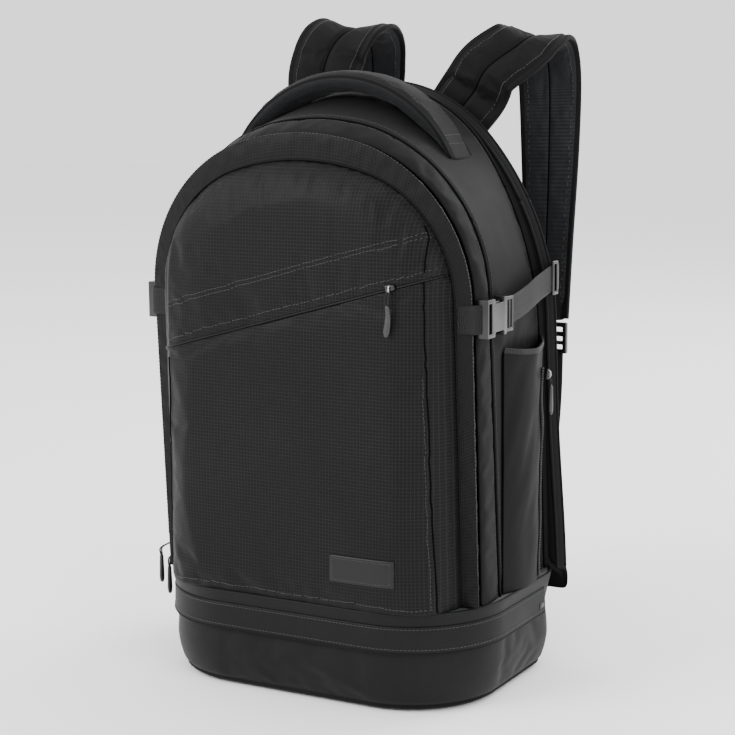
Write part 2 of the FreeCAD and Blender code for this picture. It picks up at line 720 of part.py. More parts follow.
def strap(stations, seam):
    """Padded strap through its stations, faced with flat triangles because it turns right round."""
    sections = strap_sections(stations, seam)
    faces = []
    for p, q, r, t in (sections[0], sections[-1]):
        faces += [triangle(p, q, r), triangle(p, r, t)]
    for near, far in zip(sections, sections[1:]):
        for i in range(4):
            j = (i + 1) % 4
            faces += [triangle(near[i], near[j], far[j]), triangle(near[i], far[j], far[i])]
    shell = Part.makeShell(faces)
    shell.sewShape()
    solid = Part.Solid(shell)
    if solid.Volume < 0:
        solid.reverse()
    return solid


def pad_rear_y(z):
    """Rear face of the back pad."""
    return BACK_EDGE.y_at(z) + BACK_PAD_T


def on_pad(x, above):
    """Centre of a strap that lies on the back pad, at a height from the pad's top."""
    z = PACK_TOP_Z + above
    return Vec(x, pad_rear_y(z) + STRAP_T / 2 + CLEAR, z)


def behind(x, rear, above):
    """A place on a strap: how far behind the head of the back pad and above it the strap passes."""
    return Vec(x, pad_rear_y(PACK_TOP_Z) + rear, PACK_TOP_Z + above)


def pad_width(across, rise):
    """Direction of a strap's width where it lies flat on the leaning back pad."""
    lean = (BACK_EDGE.head_y - BACK_EDGE.foot_y) / (PACK_TOP_Z - BASE_TOP_Z)
    return Vec(across, rise * lean, rise)


RIGHT_SEAM = Vec(0.8, 0.2, -0.5)   # directions of the seams between the straps and their roots
LEFT_SEAM = Vec(1, 0.05, 0.2)
RIGHT_ROOT = [
    (on_pad(36, -95), pad_width(1, -0.1)),
    (on_pad(46, -61), pad_width(1, -0.3)),
    (on_pad(60, -35), pad_width(1, -0.5)),
    (behind(79, 11.4, -9.6), RIGHT_SEAM),
]
RIGHT_STRAP = [
    (behind(79.5, 11.5, -9), RIGHT_SEAM),
    (behind(101, 15, 13), Vec(0.79, 0.36, -0.44)),
    (behind(122, 25, 34), Vec(0.82, 0.44, -0.33)),
    (behind(132, 38, 45), Vec(0.84, 0.47, -0.28)),
    (behind(129, 55, 45), Vec(0.86, 0.46, -0.22)),
    (behind(125, 70, 31), Vec(0.9, 0.42, -0.1)),
    (behind(124, 76, -2), Vec(0.93, 0.35, 0)),
    (behind(128, 75, -67), Vec(0.97, 0.2, 0)),
    (behind(133, 71, -147), Vec(1, 0.05, 0)),
    (behind(134, 66, STRAP_END_Z - PACK_TOP_Z), Vec(1, 0, 0)),
]
LEFT_ROOT = [
    (on_pad(-36, -95), pad_width(1, 0.1)),
    (on_pad(-50, -61), pad_width(1, 0.25)),
    (on_pad(-64, -35), pad_width(1, 0.3)),
    (behind(-74, 9.4, -7.6), LEFT_SEAM),
]
LEFT_STRAP = [
    (behind(-74.2, 9.5, -6.8), LEFT_SEAM),
    (behind(-77, 12, 23), Vec(1, 0.2, 0.05)),
    (behind(-69, 20, 51), Vec(0.93, 0.35, 0.05)),
    (behind(-62, 35, 63), Vec(0.9, 0.42, 0.03)),
    (behind(-62, 54, 57), Vec(0.9, 0.42, 0)),
    (behind(-66, 67, 31), Vec(0.92, 0.36, 0)),
    (behind(-76, 74, -17), Vec(0.97, 0.2, -0.1)),
    (behind(-108, 75, -87), Vec(1, 0.05, -0.2)),
    (behind(-133, 72, -162), Vec(1, 0, -0.05)),
    (behind(-134, 66, STRAP_END_Z - PACK_TOP_Z), Vec(1, 0, 0)),
]


def ladder_lock():
    """Sliding bar buckle at the right strap's lower end."""
    x = RIGHT_STRAP[-1][0].x
    y = RIGHT_STRAP[-1][0].y
    z1 = RIGHT_STRAP[-1][0].z - LOCK_GAP
    z0 = z1 - 30
    half = WEB_W / 2 + 4
    plate = box(x - half, x + half, y - 2.5, y + 2.5, z0, z1)
    for start in (z0 + 4, z0 + 12, z0 + 21):
        plate = plate.cut(box(x - half + 4, x + half - 4, y - 4, y + 4, start, start + 4.5))
    return plate


def lower_webbing():
    """Adjusting webbing from the ladder lock down to the foot of the back pad."""
    lock = RIGHT_STRAP[-1][0]
    foot_y = pad_rear_y(BASE_TOP_Z) + 3
    points = [
        Vec(lock.x, lock.y, lock.z - LOCK_GAP - 30.5),
        Vec(lock.x, lock.y - 4, lock.z - 90),
        Vec(lock.x - 2, foot_y + 4, 150),
        Vec(lock.x - 4, foot_y, 106),
    ]
    return strip(points, Vec(1, 0, 0), WEB_W, WEB_T)


def lower_anchor():
    """Triangular tab that holds the webbing at the foot of the back pad."""
    x = RIGHT_STRAP[-1][0].x - 4
    low = BASE_TOP_Z - 8
    high = BASE_TOP_Z + 13
    y = pad_rear_y(low) + CLEAR
    corners = [Vec(x - 20, y, low), Vec(x + 20, y, low), Vec(x + 14, y, high), Vec(x - 14, y, high)]
    return Part.Face(Part.makePolygon(corners + corners[:1])).extrude(Vec(0, 2.4, 0))


def gusset_top(x, y):
    """Height of the gusset's outer face over a place on the pack's top."""
    plumb = Part.makeLine(Vec(x, y, BASE_TOP_Z + PAST), Vec(x, y, PACK_TOP_Z + PAST))
    return main_gusset().common(plumb).BoundBox.ZMax


def handle_arch(apex_z, foot_z, half_span, y):
    return [Vec(-half_span, y, foot_z), Vec(0, y, apex_z), Vec(half_span, y, foot_z)]


def grab_handle():
    """Padded handle that arches over the top, with its ends sewn to the gusset."""
    foot_z = gusset_top(HANDLE_HALF_SPAN - HANDLE_FOOT_T, HANDLE_Y1) - HANDLE_DIP
    low = handle_arch(HANDLE_APEX_Z, foot_z, HANDLE_HALF_SPAN, HANDLE_Y0)
    high = handle_arch(HANDLE_APEX_Z + HANDLE_T, foot_z + HANDLE_FOOT_T, HANDLE_HALF_SPAN + 6, HANDLE_Y0)
    face = Part.Face(Part.Wire([
        Part.Arc(low[0], low[1], low[2]).toShape(),
        Part.makeLine(low[2], high[2]),
        Part.Arc(high[2], high[1], high[0]).toShape(),
        Part.makeLine(high[0], low[0]),
    ]))
    return face.extrude(Vec(0, HANDLE_Y1 - HANDLE_Y0, 0))


def save(name, shape):
    """Writes one node, and stops if its solids are not sound."""
    if not shape.isValid() or shape.Volume <= 0:
        raise ValueError(name + " is not a sound solid")
    shape.exportStep("parts/" + name + ".step")


def single_pieces():
    """Pieces that lie across the middle plane or on one side only."""
    yoke, panel, fold = front_panel_pieces()
    return {
        "boot_tub": boot_tub(),
        "floor_board": floor_board(),
        "boot_zip_lower_tape": boot_zip_tape(False),
        "boot_zip_upper_tape": boot_zip_tape(True),
        "base_band": base_band(),
        "storm_flap": storm_flap(),
        "divider_panel": divider_panel(),
        "front_yoke": yoke,
        "front_panel": panel,
        "front_fold": fold,
        "slant_zip_tape": slant_zip(),
        "slant_zip_slider": slant_slider(),
        "slant_zip_pull": slant_pull(),
        "label_patch": label_patch(),
        "pocket_gusset": pocket_gusset().common(above_z(FRONT_FOOT_Z)),
        "pocket_back_wall": pocket_back_wall(),
        "main_zip_front_tape": zip_tape(True),
        "main_zip_rear_tape": zip_tape(False),
        "main_slider_upper": main_slider(UPPER_SLIDER_Z),
        "main_slider_lower": main_slider(LOWER_SLIDER_Z),
        "main_pull_upper": main_pull(UPPER_SLIDER_Z, 8.0, -6.0),
        "main_pull_lower": main_pull(LOWER_SLIDER_Z, 5.0, 5.0),
        "zip_band": zip_band(),
        "main_gusset": main_gusset(),
        "back_lining": back_lining(),
        "frame_sheet": frame_sheet(),
        "back_pad": back_pad(),
        "grab_handle": grab_handle(),
        "strap_root_right": strap(RIGHT_ROOT, len(RIGHT_ROOT) - 1),
        "strap_root_left": strap(LEFT_ROOT, len(LEFT_ROOT) - 1),
        "shoulder_strap_right": strap(RIGHT_STRAP, 0),
        "shoulder_strap_left": strap(LEFT_STRAP, 0),
    }


def paired_pieces():
    """Pieces of the right side, which the left side mirrors."""
    x0 = HALF_WIDTH - BUCKLE_T / 2
    return {
        "side_pocket": side_pocket(),
        "side_zip": side_zip(),
        "side_slider": side_slider(),
        "side_pull": side_pull(),
        "boot_slider": boot_slider(),
        "buckle_female": buckle_female(x0),
        "buckle_male": buckle_male(x0),
        "buckle_prongs": buckle_prongs(x0),
        "side_webbing": side_webbing(x0),
        "ladder_lock": ladder_lock(),
        "lower_webbing": lower_webbing(),
    }


def both(shape):
    """A right-hand piece and its mirror image, kept together as one group."""
    return Part.makeCompound([shape, mirrored(shape)])


def grouped_pieces():
    """Small fixed pieces that come in a left and a right copy."""
    x0 = HALF_WIDTH - BUCKLE_T / 2
    return {
        "front_tabs": both(front_tab(x0)),
        "edge_rings": both(ring()),
        "ring_tabs": both(ring_tab()),
        "lower_anchors": both(lower_anchor()),
    }


def main():
    os.makedirs("parts", exist_ok=True)
    for name, shape in {**single_pieces(), **grouped_pieces()}.items():
        save(name, shape)
    for name, shape in paired_pieces().items():
        save(name + "_right", shape)
        save(name + "_left", mirrored(shape))


main()
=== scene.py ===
"""Looks of a ski boot bag: a daypack with a zip-round boot compartment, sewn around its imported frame."""

import json
import logging
import math
from dataclasses import dataclass, field
from enum import Enum
from functools import cached_property
from typing import Callable, Iterable, Sequence

import bmesh
import bpy
from mathutils import Matrix, Vector, noise
from mathutils.bvhtree import BVHTree

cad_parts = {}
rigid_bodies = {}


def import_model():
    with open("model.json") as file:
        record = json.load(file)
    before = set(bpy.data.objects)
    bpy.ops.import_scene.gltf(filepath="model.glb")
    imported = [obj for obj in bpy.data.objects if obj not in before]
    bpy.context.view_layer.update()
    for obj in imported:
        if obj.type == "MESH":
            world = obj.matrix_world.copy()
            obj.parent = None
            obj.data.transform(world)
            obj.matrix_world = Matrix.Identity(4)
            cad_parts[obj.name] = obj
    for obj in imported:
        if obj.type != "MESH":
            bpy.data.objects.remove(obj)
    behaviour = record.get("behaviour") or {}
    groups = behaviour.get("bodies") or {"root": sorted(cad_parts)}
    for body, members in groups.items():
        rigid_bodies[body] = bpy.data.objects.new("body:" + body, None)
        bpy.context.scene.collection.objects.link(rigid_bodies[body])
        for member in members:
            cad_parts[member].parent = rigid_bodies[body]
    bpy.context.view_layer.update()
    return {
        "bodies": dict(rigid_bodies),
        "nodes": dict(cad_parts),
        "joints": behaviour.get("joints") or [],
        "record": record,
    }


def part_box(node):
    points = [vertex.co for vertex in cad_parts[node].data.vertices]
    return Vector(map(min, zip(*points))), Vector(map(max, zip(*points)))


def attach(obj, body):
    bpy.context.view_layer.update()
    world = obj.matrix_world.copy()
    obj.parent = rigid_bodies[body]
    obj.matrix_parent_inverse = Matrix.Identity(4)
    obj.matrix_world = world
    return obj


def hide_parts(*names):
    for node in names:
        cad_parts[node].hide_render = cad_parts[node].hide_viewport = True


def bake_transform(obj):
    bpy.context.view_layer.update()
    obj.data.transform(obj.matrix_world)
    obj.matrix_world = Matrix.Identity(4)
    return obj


LOG = logging.getLogger("ski_boot_bag")
MM = 0.001
UP = Vector((0.0, 0.0, 1.0))
FRONT = Vector((0.0, -1.0, 0.0))
WEBBING = 25 * MM
OFF_CLOTH = 9 * MM
Place = Callable[[float, float], Vector]
Line = Callable[[float], Vector]


def vec(x: float, y: float, z: float) -> Vector:
    """A place given in millimetres, returned in metres."""
    return Vector((x, y, z)) * MM


def lerp(a: float, b: float, t: float) -> float:
    """The value a share t of the way from a to b."""
    return a + (b - a) * t


def ease(t: float) -> float:
    """A smooth step from 0 to 1."""
    t = min(max(t, 0.0), 1.0)
    return t * t * (3 - 2 * t)


def squared(value: float, power: float) -> float:
    """Bends a sine or cosine so that a circle drawn with it turns into a rounded box."""
    return math.copysign(abs(value) ** power, value)


def well(distance: float, width: float) -> float:
    """One at a seam, falling off smoothly within about a width of it."""
    return math.exp(-((distance / width) ** 2))


def ripple(place: Vector, scale: float, seed: float = 0.0) -> float:
    """Soft noise between about -1 and 1 at a place, with waves of the given size in metres."""
    return noise.noise(place / scale + Vector((seed, seed * 1.7, -seed)))


# ---------------------------------------------------------------- materials


class Sockets:
    """Short hand for building the nodes of one tree."""

    def __init__(self, tree: bpy.types.NodeTree) -> None:
        """Takes over a node tree.

        Args:
            tree: The tree of a material or a node group.
        """
        self.tree = tree

    def node(self, kind: str, **settings: object) -> bpy.types.Node:
        """Adds a node and sets its properties.

        Args:
            kind: Blender's name of the node's type.
            settings: Properties of the node.

        Returns:
            The new node.
        """
        made = self.tree.nodes.new(kind)
        for key, value in settings.items():
            setattr(made, key, value)
        return made

    def feed(self, socket: bpy.types.NodeSocket, value: object) -> None:
        """Links a socket, or sets its default, whichever the value is."""
        if isinstance(value, bpy.types.NodeSocket):
            self.tree.links.new(value, socket)
        else:
            socket.default_value = value

    def math(self, operation: str, *values: object, clamp: bool = False) -> bpy.types.NodeSocket:
        """Adds a Math node over sockets or numbers.

        Args:
            operation: The node's operation.
            values: Its inputs.
            clamp: Whether the result stays between 0 and 1.

        Returns:
            The result's socket.
        """
        made = self.node("ShaderNodeMath", operation=operation, use_clamp=clamp)
        for socket, value in zip(made.inputs, values):
            self.feed(socket, value)
        return made.outputs[0]

    def mix(self, share: object, low: object, high: object) -> bpy.types.NodeSocket:
        """Mixes two colours.

        Args:
            share: How much of the second one.
            low: The colour at 0.
            high: The colour at 1.

        Returns:
            The mixed colour's socket.
        """
        made = self.node("ShaderNodeMix", data_type="RGBA")
        self.feed(made.inputs[0], share)
        self.feed(made.inputs[6], low)
        self.feed(made.inputs[7], high)
        return made.outputs[2]

    def noise(self, vector: object, scale: float, detail: float = 3.0) -> bpy.types.NodeSocket:
        """Adds a noise texture and returns its value's socket."""
        made = self.node("ShaderNodeTexNoise")
        self.feed(made.inputs["Vector"], vector)
        made.inputs["Scale"].default_value = scale
        made.inputs["Detail"].default_value = detail
        return made.outputs[0]


def new_group(name: str, inputs: Sequence[tuple[str, str, float]], outputs: Sequence[str]) -> tuple:
    """Starts a shader node group.

    Args:
        name: The group's name.
        inputs: Name, socket type and default of each input.
        outputs: Names of its value outputs.

    Returns:
        The tree, its builder, its input node and its output node.
    """
    tree = bpy.data.node_groups.new(name, "ShaderNodeTree")
    for title, kind, default in inputs:
        socket = tree.interface.new_socket(title, in_out="INPUT", socket_type=kind)
        if kind == "NodeSocketFloat":
            socket.default_value = default
    for title in outputs:
        tree.interface.new_socket(title, in_out="OUTPUT", socket_type="NodeSocketFloat")
    make = Sockets(tree)
    return tree, make, make.node("NodeGroupInput"), make.node("NodeGroupOutput")


class Pattern(Enum):
    """How a cloth is woven or knitted."""

    RIPSTOP = "ripstop"
    PLAIN = "plain"
    MESH = "mesh"
    WEBBING = "webbing"


class Patterns:
    """The shared node groups, each built once."""

    def __init__(self) -> None:
        """Builds every group."""
        self.ripstop = self._ripstop()
        self.plain = self._plain()
        self.mesh = self._mesh()
        self.webbing = self._webbing()
        self.tone = self._tone()

    @staticmethod
    def _split(make: Sockets, source: bpy.types.Node) -> tuple:
        """Splits the group's vector, divided by its pitch, into across and along."""
        axes = make.node("ShaderNodeSeparateXYZ")
        make.feed(axes.inputs[0], source.outputs["Vector"])
        pitch = source.outputs["Pitch"]
        return (make.math("DIVIDE", axes.outputs[0], pitch), make.math("DIVIDE", axes.outputs[1], pitch))

    @staticmethod
    def _wave(make: Sockets, value: object, turns: float) -> bpy.types.NodeSocket:
        """A cosine that repeats turns times in every pitch."""
        return make.math("COSINE", make.math("MULTIPLY", value, 2 * math.pi * turns))

    def _ripstop(self) -> bpy.types.NodeTree:
        """Fine plain weave crossed by a grid of thicker threads."""
        tree, make, source, out = new_group(
            "ripstop_grid",
            [("Vector", "NodeSocketVector", 0), ("Pitch", "NodeSocketFloat", 0.004)],
            ["Thread", "Height"],
        )
        across, along = self._split(make, source)
        sharpness = 11.0
        lines = []
        for value in (across, along):
            peak = make.math("MULTIPLY_ADD", self._wave(make, value, 1.0), 0.5, 0.5)
            lines.append(make.math("POWER", peak, sharpness))
        thread = make.math("MAXIMUM", lines[0], lines[1])
        weave = make.math("MULTIPLY", self._wave(make, across, 7.0), self._wave(make, along, 7.0))
        make.feed(out.inputs["Thread"], thread)
        make.feed(out.inputs["Height"], make.math("MULTIPLY_ADD", weave, 0.12, thread))
        return tree

    def _plain(self) -> bpy.types.NodeTree:
        """Plain weave with slubs."""
        tree, make, source, out = new_group(
            "plain_weave",
            [("Vector", "NodeSocketVector", 0), ("Pitch", "NodeSocketFloat", 0.001)],
            ["Thread", "Height"],
        )
        across, along = self._split(make, source)
        weave = make.math("MULTIPLY", self._wave(make, across, 1.0), self._wave(make, along, 1.0))
        slub = make.noise(source.outputs["Vector"], 350.0)
        height = make.math("MULTIPLY_ADD", weave, 0.5, slub)
        make.feed(out.inputs["Thread"], make.math("MULTIPLY_ADD", weave, 0.25, 0.5))
        make.feed(out.inputs["Height"], height)
        return tree

    def _mesh(self) -> bpy.types.NodeTree:
        """Spacer mesh: staggered open cells with thick walls."""
        tree, make, source, out = new_group(
            "spacer_mesh",
            [("Vector", "NodeSocketVector", 0), ("Pitch", "NodeSocketFloat", 0.004)],
            ["Thread", "Height"],
        )
        across, along = self._split(make, source)
        cells = make.math("MULTIPLY", self._wave(make, across, 0.5), self._wave(make, along, 0.5))
        hole = make.math("MULTIPLY", make.math("SUBTRACT", make.math("ABSOLUTE", cells), 0.42), 2.6,
                         clamp=True)
        knit = make.math("MULTIPLY", self._wave(make, across, 3.0), self._wave(make, along, 2.0))
        wall = make.math("SUBTRACT", 1.0, hole)
        make.feed(out.inputs["Thread"], wall)
        make.feed(out.inputs["Height"], make.math("MULTIPLY_ADD", knit, 0.08, wall))
        return tree

    def _webbing(self) -> bpy.types.NodeTree:
        """Woven tape: ribs across its length, with a chevron in them."""
        tree, make, source, out = new_group(
            "webbing_ribs",
            [("Vector", "NodeSocketVector", 0), ("Pitch", "NodeSocketFloat", 0.0015)],
            ["Thread", "Height"],
        )
        across, along = self._split(make, source)
        zigzag = make.math("PINGPONG", across, 1.0)
        rib = self._wave(make, make.math("MULTIPLY_ADD", zigzag, 0.6, along), 1.0)
        make.feed(out.inputs["Thread"], make.math("MULTIPLY_ADD", rib, 0.5, 0.5))
        make.feed(out.inputs["Height"], make.math("MULTIPLY_ADD", self._wave(make, across, 1.0), 0.3, rib))
        return tree

    def _tone(self) -> bpy.types.NodeTree:
        """Broad shading of used cloth: uneven dye and rubbed patches."""
        tree, make, source, out = new_group(
            "cloth_tone",
            [("Vector", "NodeSocketVector", 0), ("Spread", "NodeSocketFloat", 9.0)],
            ["Tone", "Rubbed"],
        )
        broad = make.noise(source.outputs["Vector"], 9.0, 4.0)
        fine = make.noise(source.outputs["Vector"], 120.0, 5.0)
        make.feed(out.inputs["Tone"],
                  make.math("MULTIPLY_ADD", fine, 0.35, make.math("MULTIPLY", broad, 0.65)))
        patches = make.math("MULTIPLY", make.math("SUBTRACT", broad, 0.5), source.outputs["Spread"],
                            clamp=True)
        make.feed(out.inputs["Rubbed"], make.math("MULTIPLY", patches, fine))
        return tree


@dataclass(frozen=True)
class ClothFinish:
    """A cloth: its weave, its colours and how it takes light."""

    name: str
    pattern: Pattern
    pitch: float
    # Painted shade and highlight: deep is the colour of the weave's hollows and mesh holes, raised the
    # lighter colour of its raised threads and ripstop grid.
    deep: tuple[float, float, float]
    raised: tuple[float, float, float]
    roughness: float = 0.62
    relief: float = 0.35
    depth: float = 0.0004
    sheen: float = 0.15
    gloss: float = 0.2

    def build(self, patterns: Patterns) -> bpy.types.Material:
        """Makes the material.

        Args:
            patterns: The shared node groups.

        Returns:
            The cloth's material, which follows each piece's own UV map.
        """
        material = bpy.data.materials.new(self.name)
        material.use_nodes = True
        make = Sockets(material.node_tree)
        shader = material.node_tree.nodes["Principled BSDF"]
        place = make.node("ShaderNodeTexCoord")
        weave = make.node("ShaderNodeGroup", node_tree=getattr(patterns, self.pattern.value))
        make.feed(weave.inputs["Vector"], place.outputs["UV"])
        weave.inputs["Pitch"].default_value = self.pitch
        tone = make.node("ShaderNodeGroup", node_tree=patterns.tone)
        make.feed(tone.inputs["Vector"], place.outputs["Object"])
        # Painted shade and highlight at the weave's scale: the weave's height mask gives its hollows the
        # darker colour and its raised threads the lighter one.
        threads = make.mix(weave.outputs["Thread"], (*self.deep, 1.0), (*self.raised, 1.0))
        darker = tuple(0.78 * c for c in self.deep)
        shade = make.mix(tone.outputs["Tone"], (*darker, 1.0), threads)
        make.feed(shader.inputs["Base Color"], shade)
        rough = make.math("MULTIPLY_ADD", tone.outputs["Tone"], 0.16, self.roughness - 0.08)
        make.feed(shader.inputs["Roughness"], make.math("MULTIPLY_ADD", tone.outputs["Rubbed"], -0.12, rough))
        bump = make.node("ShaderNodeBump")
        bump.inputs["Strength"].default_value = self.relief
        bump.inputs["Distance"].default_value = self.depth
        make.feed(bump.inputs["Height"], weave.outputs["Height"])
        make.feed(shader.inputs["Normal"], bump.outputs["Normal"])
        shader.inputs["Sheen Weight"].default_value = self.sheen
        shader.inputs["Sheen Roughness"].default_value = 0.5
        shader.inputs["Specular IOR Level"].default_value = self.gloss
        return material


@dataclass(frozen=True)
class MouldedFinish:
    """A moulded or cast part: its colour, gloss and the fine grain of its surface."""

    name: str
    colour: tuple[float, float, float]
    worn: tuple[float, float, float]
    roughness: float
    metallic: float = 0.0
    grain: float = 900.0
    relief: float = 0.15

    def build(self, patterns: Patterns) -> bpy.types.Material:
        """Makes the material.

        Args:
            patterns: The shared node groups.

        Returns:
            The material, which follows object coordinates.
        """
        material = bpy.data.materials.new(self.name)
        material.use_nodes = True
        make = Sockets(material.node_tree)
        shader = material.node_tree.nodes["Principled BSDF"]
        place = make.node("ShaderNodeTexCoord").outputs["Object"]
        tone = make.node("ShaderNodeGroup", node_tree=patterns.tone)
        make.feed(tone.inputs["Vector"], place)
        tone.inputs["Spread"].default_value = 14.0
        make.feed(shader.inputs["Base Color"],
                  make.mix(tone.outputs["Rubbed"], (*self.colour, 1.0), (*self.worn, 1.0)))
        make.feed(shader.inputs["Roughness"],
                  make.math("MULTIPLY_ADD", tone.outputs["Tone"], 0.18, self.roughness - 0.06))
        bump = make.node("ShaderNodeBump")
        bump.inputs["Strength"].default_value = self.relief
        bump.inputs["Distance"].default_value = 0.0001
        make.feed(bump.inputs["Height"], make.noise(place, self.grain, 2.0))
        make.feed(shader.inputs["Normal"], bump.outputs["Normal"])
        shader.inputs["Metallic"].default_value = self.metallic
        return material


class Wardrobe:
    """Every finish of the bag, by the record's material slot."""

    def __init__(self) -> None:
        """Builds all the materials."""
        patterns = Patterns()
        # Each cloth's first colour is painted shade for its weave's hollows and its second a painted
        # highlight for its raised threads.
        finishes = {
            "ripstop_fabric": ClothFinish("ripstop", Pattern.RIPSTOP, 0.0031, (0.0034, 0.0034, 0.0037),
                                          (0.0185, 0.0183, 0.0192), 0.5, 0.3, 0.0002, 0.01, 0.1),
            "shell_fabric": ClothFinish("shell", Pattern.PLAIN, 0.0011, (0.0034, 0.0034, 0.0038),
                                        (0.0066, 0.0066, 0.007), 0.62, 0.25, 0.0001, 0.01, 0.08),
            "base_fabric": ClothFinish("base_cloth", Pattern.RIPSTOP, 0.0024, (0.0036, 0.0036, 0.004),
                                       (0.0125, 0.0124, 0.0132), 0.54, 0.3, 0.0001, 0.015, 0.12),
            "lining_fabric": ClothFinish("lining", Pattern.PLAIN, 0.0011, (0.03, 0.031, 0.034),
                                         (0.05, 0.05, 0.054), 0.7, 0.2, 0.0001, 0.05, 0.2),
            "spacer_mesh": ClothFinish("mesh", Pattern.MESH, 0.0019, (0.0012, 0.0012, 0.0014),
                                       (0.022, 0.0228, 0.0255), 0.75, 0.5, 0.0004, 0.04, 0.14),
            "stretch_mesh": ClothFinish("stretch", Pattern.PLAIN, 0.0014, (0.0034, 0.0034, 0.0037),
                                        (0.0066, 0.0066, 0.0071), 0.6, 0.3, 0.0001, 0.01, 0.09),
            "webbing": ClothFinish("tape", Pattern.WEBBING, 0.0016, (0.004, 0.004, 0.0043),
                                   (0.0125, 0.0125, 0.0132), 0.55, 0.5, 0.0003, 0.03, 0.18),
            "zip_tape": ClothFinish("zip_cloth", Pattern.WEBBING, 0.0009, (0.0016, 0.0016, 0.0016),
                                    (0.0034, 0.0034, 0.0036), 0.6, 0.4, 0.0002, 0.0, 0.1),
            "label_fabric": ClothFinish("label_cloth", Pattern.PLAIN, 0.0007, (0.0035, 0.0035, 0.0036),
                                        (0.006, 0.006, 0.0064), 0.42, 0.2, 0.0001, 0.02, 0.25),
            "moulded_plastic": MouldedFinish("acetal", (0.0035, 0.0035, 0.0038), (0.009, 0.009, 0.0095),
                                             0.27),
            "stiffener_plastic": MouldedFinish("sheet_plastic", (0.012, 0.012, 0.0125), (0.025, 0.025, 0.025),
                                               0.5),
            "zip_metal": MouldedFinish("dark_metal", (0.022, 0.022, 0.024), (0.09, 0.09, 0.094), 0.32, 1.0),
            "pull_rubber": MouldedFinish("soft_rubber", (0.008, 0.008, 0.0085), (0.018, 0.018, 0.0185), 0.4),
        }
        self.by_slot = {slot: finish.build(patterns) for slot, finish in finishes.items()}
        self.thread = ClothFinish("sewing_thread", Pattern.WEBBING, 0.0006, (0.018, 0.018, 0.0195),
                                  (0.045, 0.045, 0.048), 0.5, 0.3, 0.0001, 0.05, 0.25).build(patterns)
        # Painted shade: a near-black cloth for the cords laid in the seams and along the pocket edges,
        # standing in for the shadow in their grooves.
        self.shadow = ClothFinish("painted_seam_shadow", Pattern.PLAIN, 0.0011, (0.0006, 0.0006, 0.0007),
                                  (0.0012, 0.0012, 0.0013), 0.8, 0.2, 0.0001, 0.0, 0.04).build(patterns)
        self.coil = MouldedFinish("zip_coil", (0.0016, 0.0016, 0.0018), (0.004, 0.004, 0.0043),
                                  0.5).build(patterns)
        self.bright = MouldedFinish("bright_metal", (0.32, 0.32, 0.33), (0.5, 0.5, 0.51), 0.26,
                                    1.0).build(patterns)


# ---------------------------------------------------------------- sewing tools


class Cut:
    """A piece being made: a bmesh whose UV map is the cloth's own length and width in metres."""

    def __init__(self, name: str) -> None:
        """Starts an empty piece.

        Args:
            name: The piece's name.
        """
        self.name = name
        self.bm = bmesh.new()
        self.uv = self.bm.loops.layers.uv.new("cloth")

    def sheet(self, place: Place, columns: int, rows: int, width: float, height: float) -> list:
        """Adds a grid of cloth laid on a surface.

        Args:
            place: Where each (u, v) from 0 to 1 lies.
            columns: Faces along u.
            rows: Faces along v.
            width: Length of the cloth along u, in metres.
            height: Length along v.

        Returns:
            The new vertices.
        """
        made = bmesh.ops.create_grid(self.bm, x_segments=columns, y_segments=rows, size=0.5)
        for vert in made["verts"]:
            u, v = vert.co.x + 0.5, vert.co.y + 0.5
            for loop in vert.link_loops:
                loop[self.uv].uv = (u * width, v * height)
            vert.co = place(u, v)
        return made["verts"]

    def hose(self, place: Place, around: int, along: int, girth: float, length: float) -> None:
        """Adds a closed tube: u goes round it and v along it, and its ends are capped."""
        verts = self.sheet(place, around, along, girth, length)
        bmesh.ops.remove_doubles(self.bm, verts=verts, dist=1e-6)
        verts = [v for v in verts if v.is_valid]
        rims = {e for v in verts for e in v.link_edges if e.is_boundary}
        bmesh.ops.holes_fill(self.bm, edges=list(rims), sides=0)
        faces = {f for v in verts if v.is_valid for f in v.link_faces}
        bmesh.ops.recalc_face_normals(self.bm, faces=list(faces))

    def finish(self, material: bpy.types.Material) -> bpy.types.Object:
        """Turns the piece into an object.

        Args:
            material: Its finish.

        Returns:
            The object, smooth-shaded, at the origin.
        """
        mesh = bpy.data.meshes.new(self.name)
        self.bm.to_mesh(mesh)
        self.bm.free()
        mesh.materials.append(material)
        mesh.polygons.foreach_set("use_smooth", [True] * len(mesh.polygons))
        piece = bpy.data.objects.new(self.name, mesh)
        bpy.context.scene.collection.objects.link(piece)
        return piece


def applied(piece: bpy.types.Object) -> bpy.types.Object:
    """Applies the piece's modifiers to its mesh.

    Args:
        piece: An object with modifiers.

    Returns:
        The same object, with none.
    """
    graph = bpy.context.evaluated_depsgraph_get()
    mesh = bpy.data.meshes.new_from_object(piece.evaluated_get(graph))
    piece.modifiers.clear()
    piece.data = mesh
    return piece


def finished(piece: bpy.types.Object, wall: float = 0.0, levels: int = 0) -> bpy.types.Object:
    """Gives a piece its thickness and its smooth surface.

    Args:
        piece: A sheet or a closed form.
        wall: Thickness in metres, grown inwards; none for a closed form.
        levels: Subdivision levels.

    Returns:
        The same object.
    """
    if levels:
        smooth = piece.modifiers.new("smooth", "SUBSURF")
        smooth.levels = levels
        smooth.render_levels = levels
    if wall:
        thick = piece.modifiers.new("wall", "SOLIDIFY")
        thick.thickness = wall
        thick.offset = -1.0
        thick.use_even_offset = False
    return applied(piece)


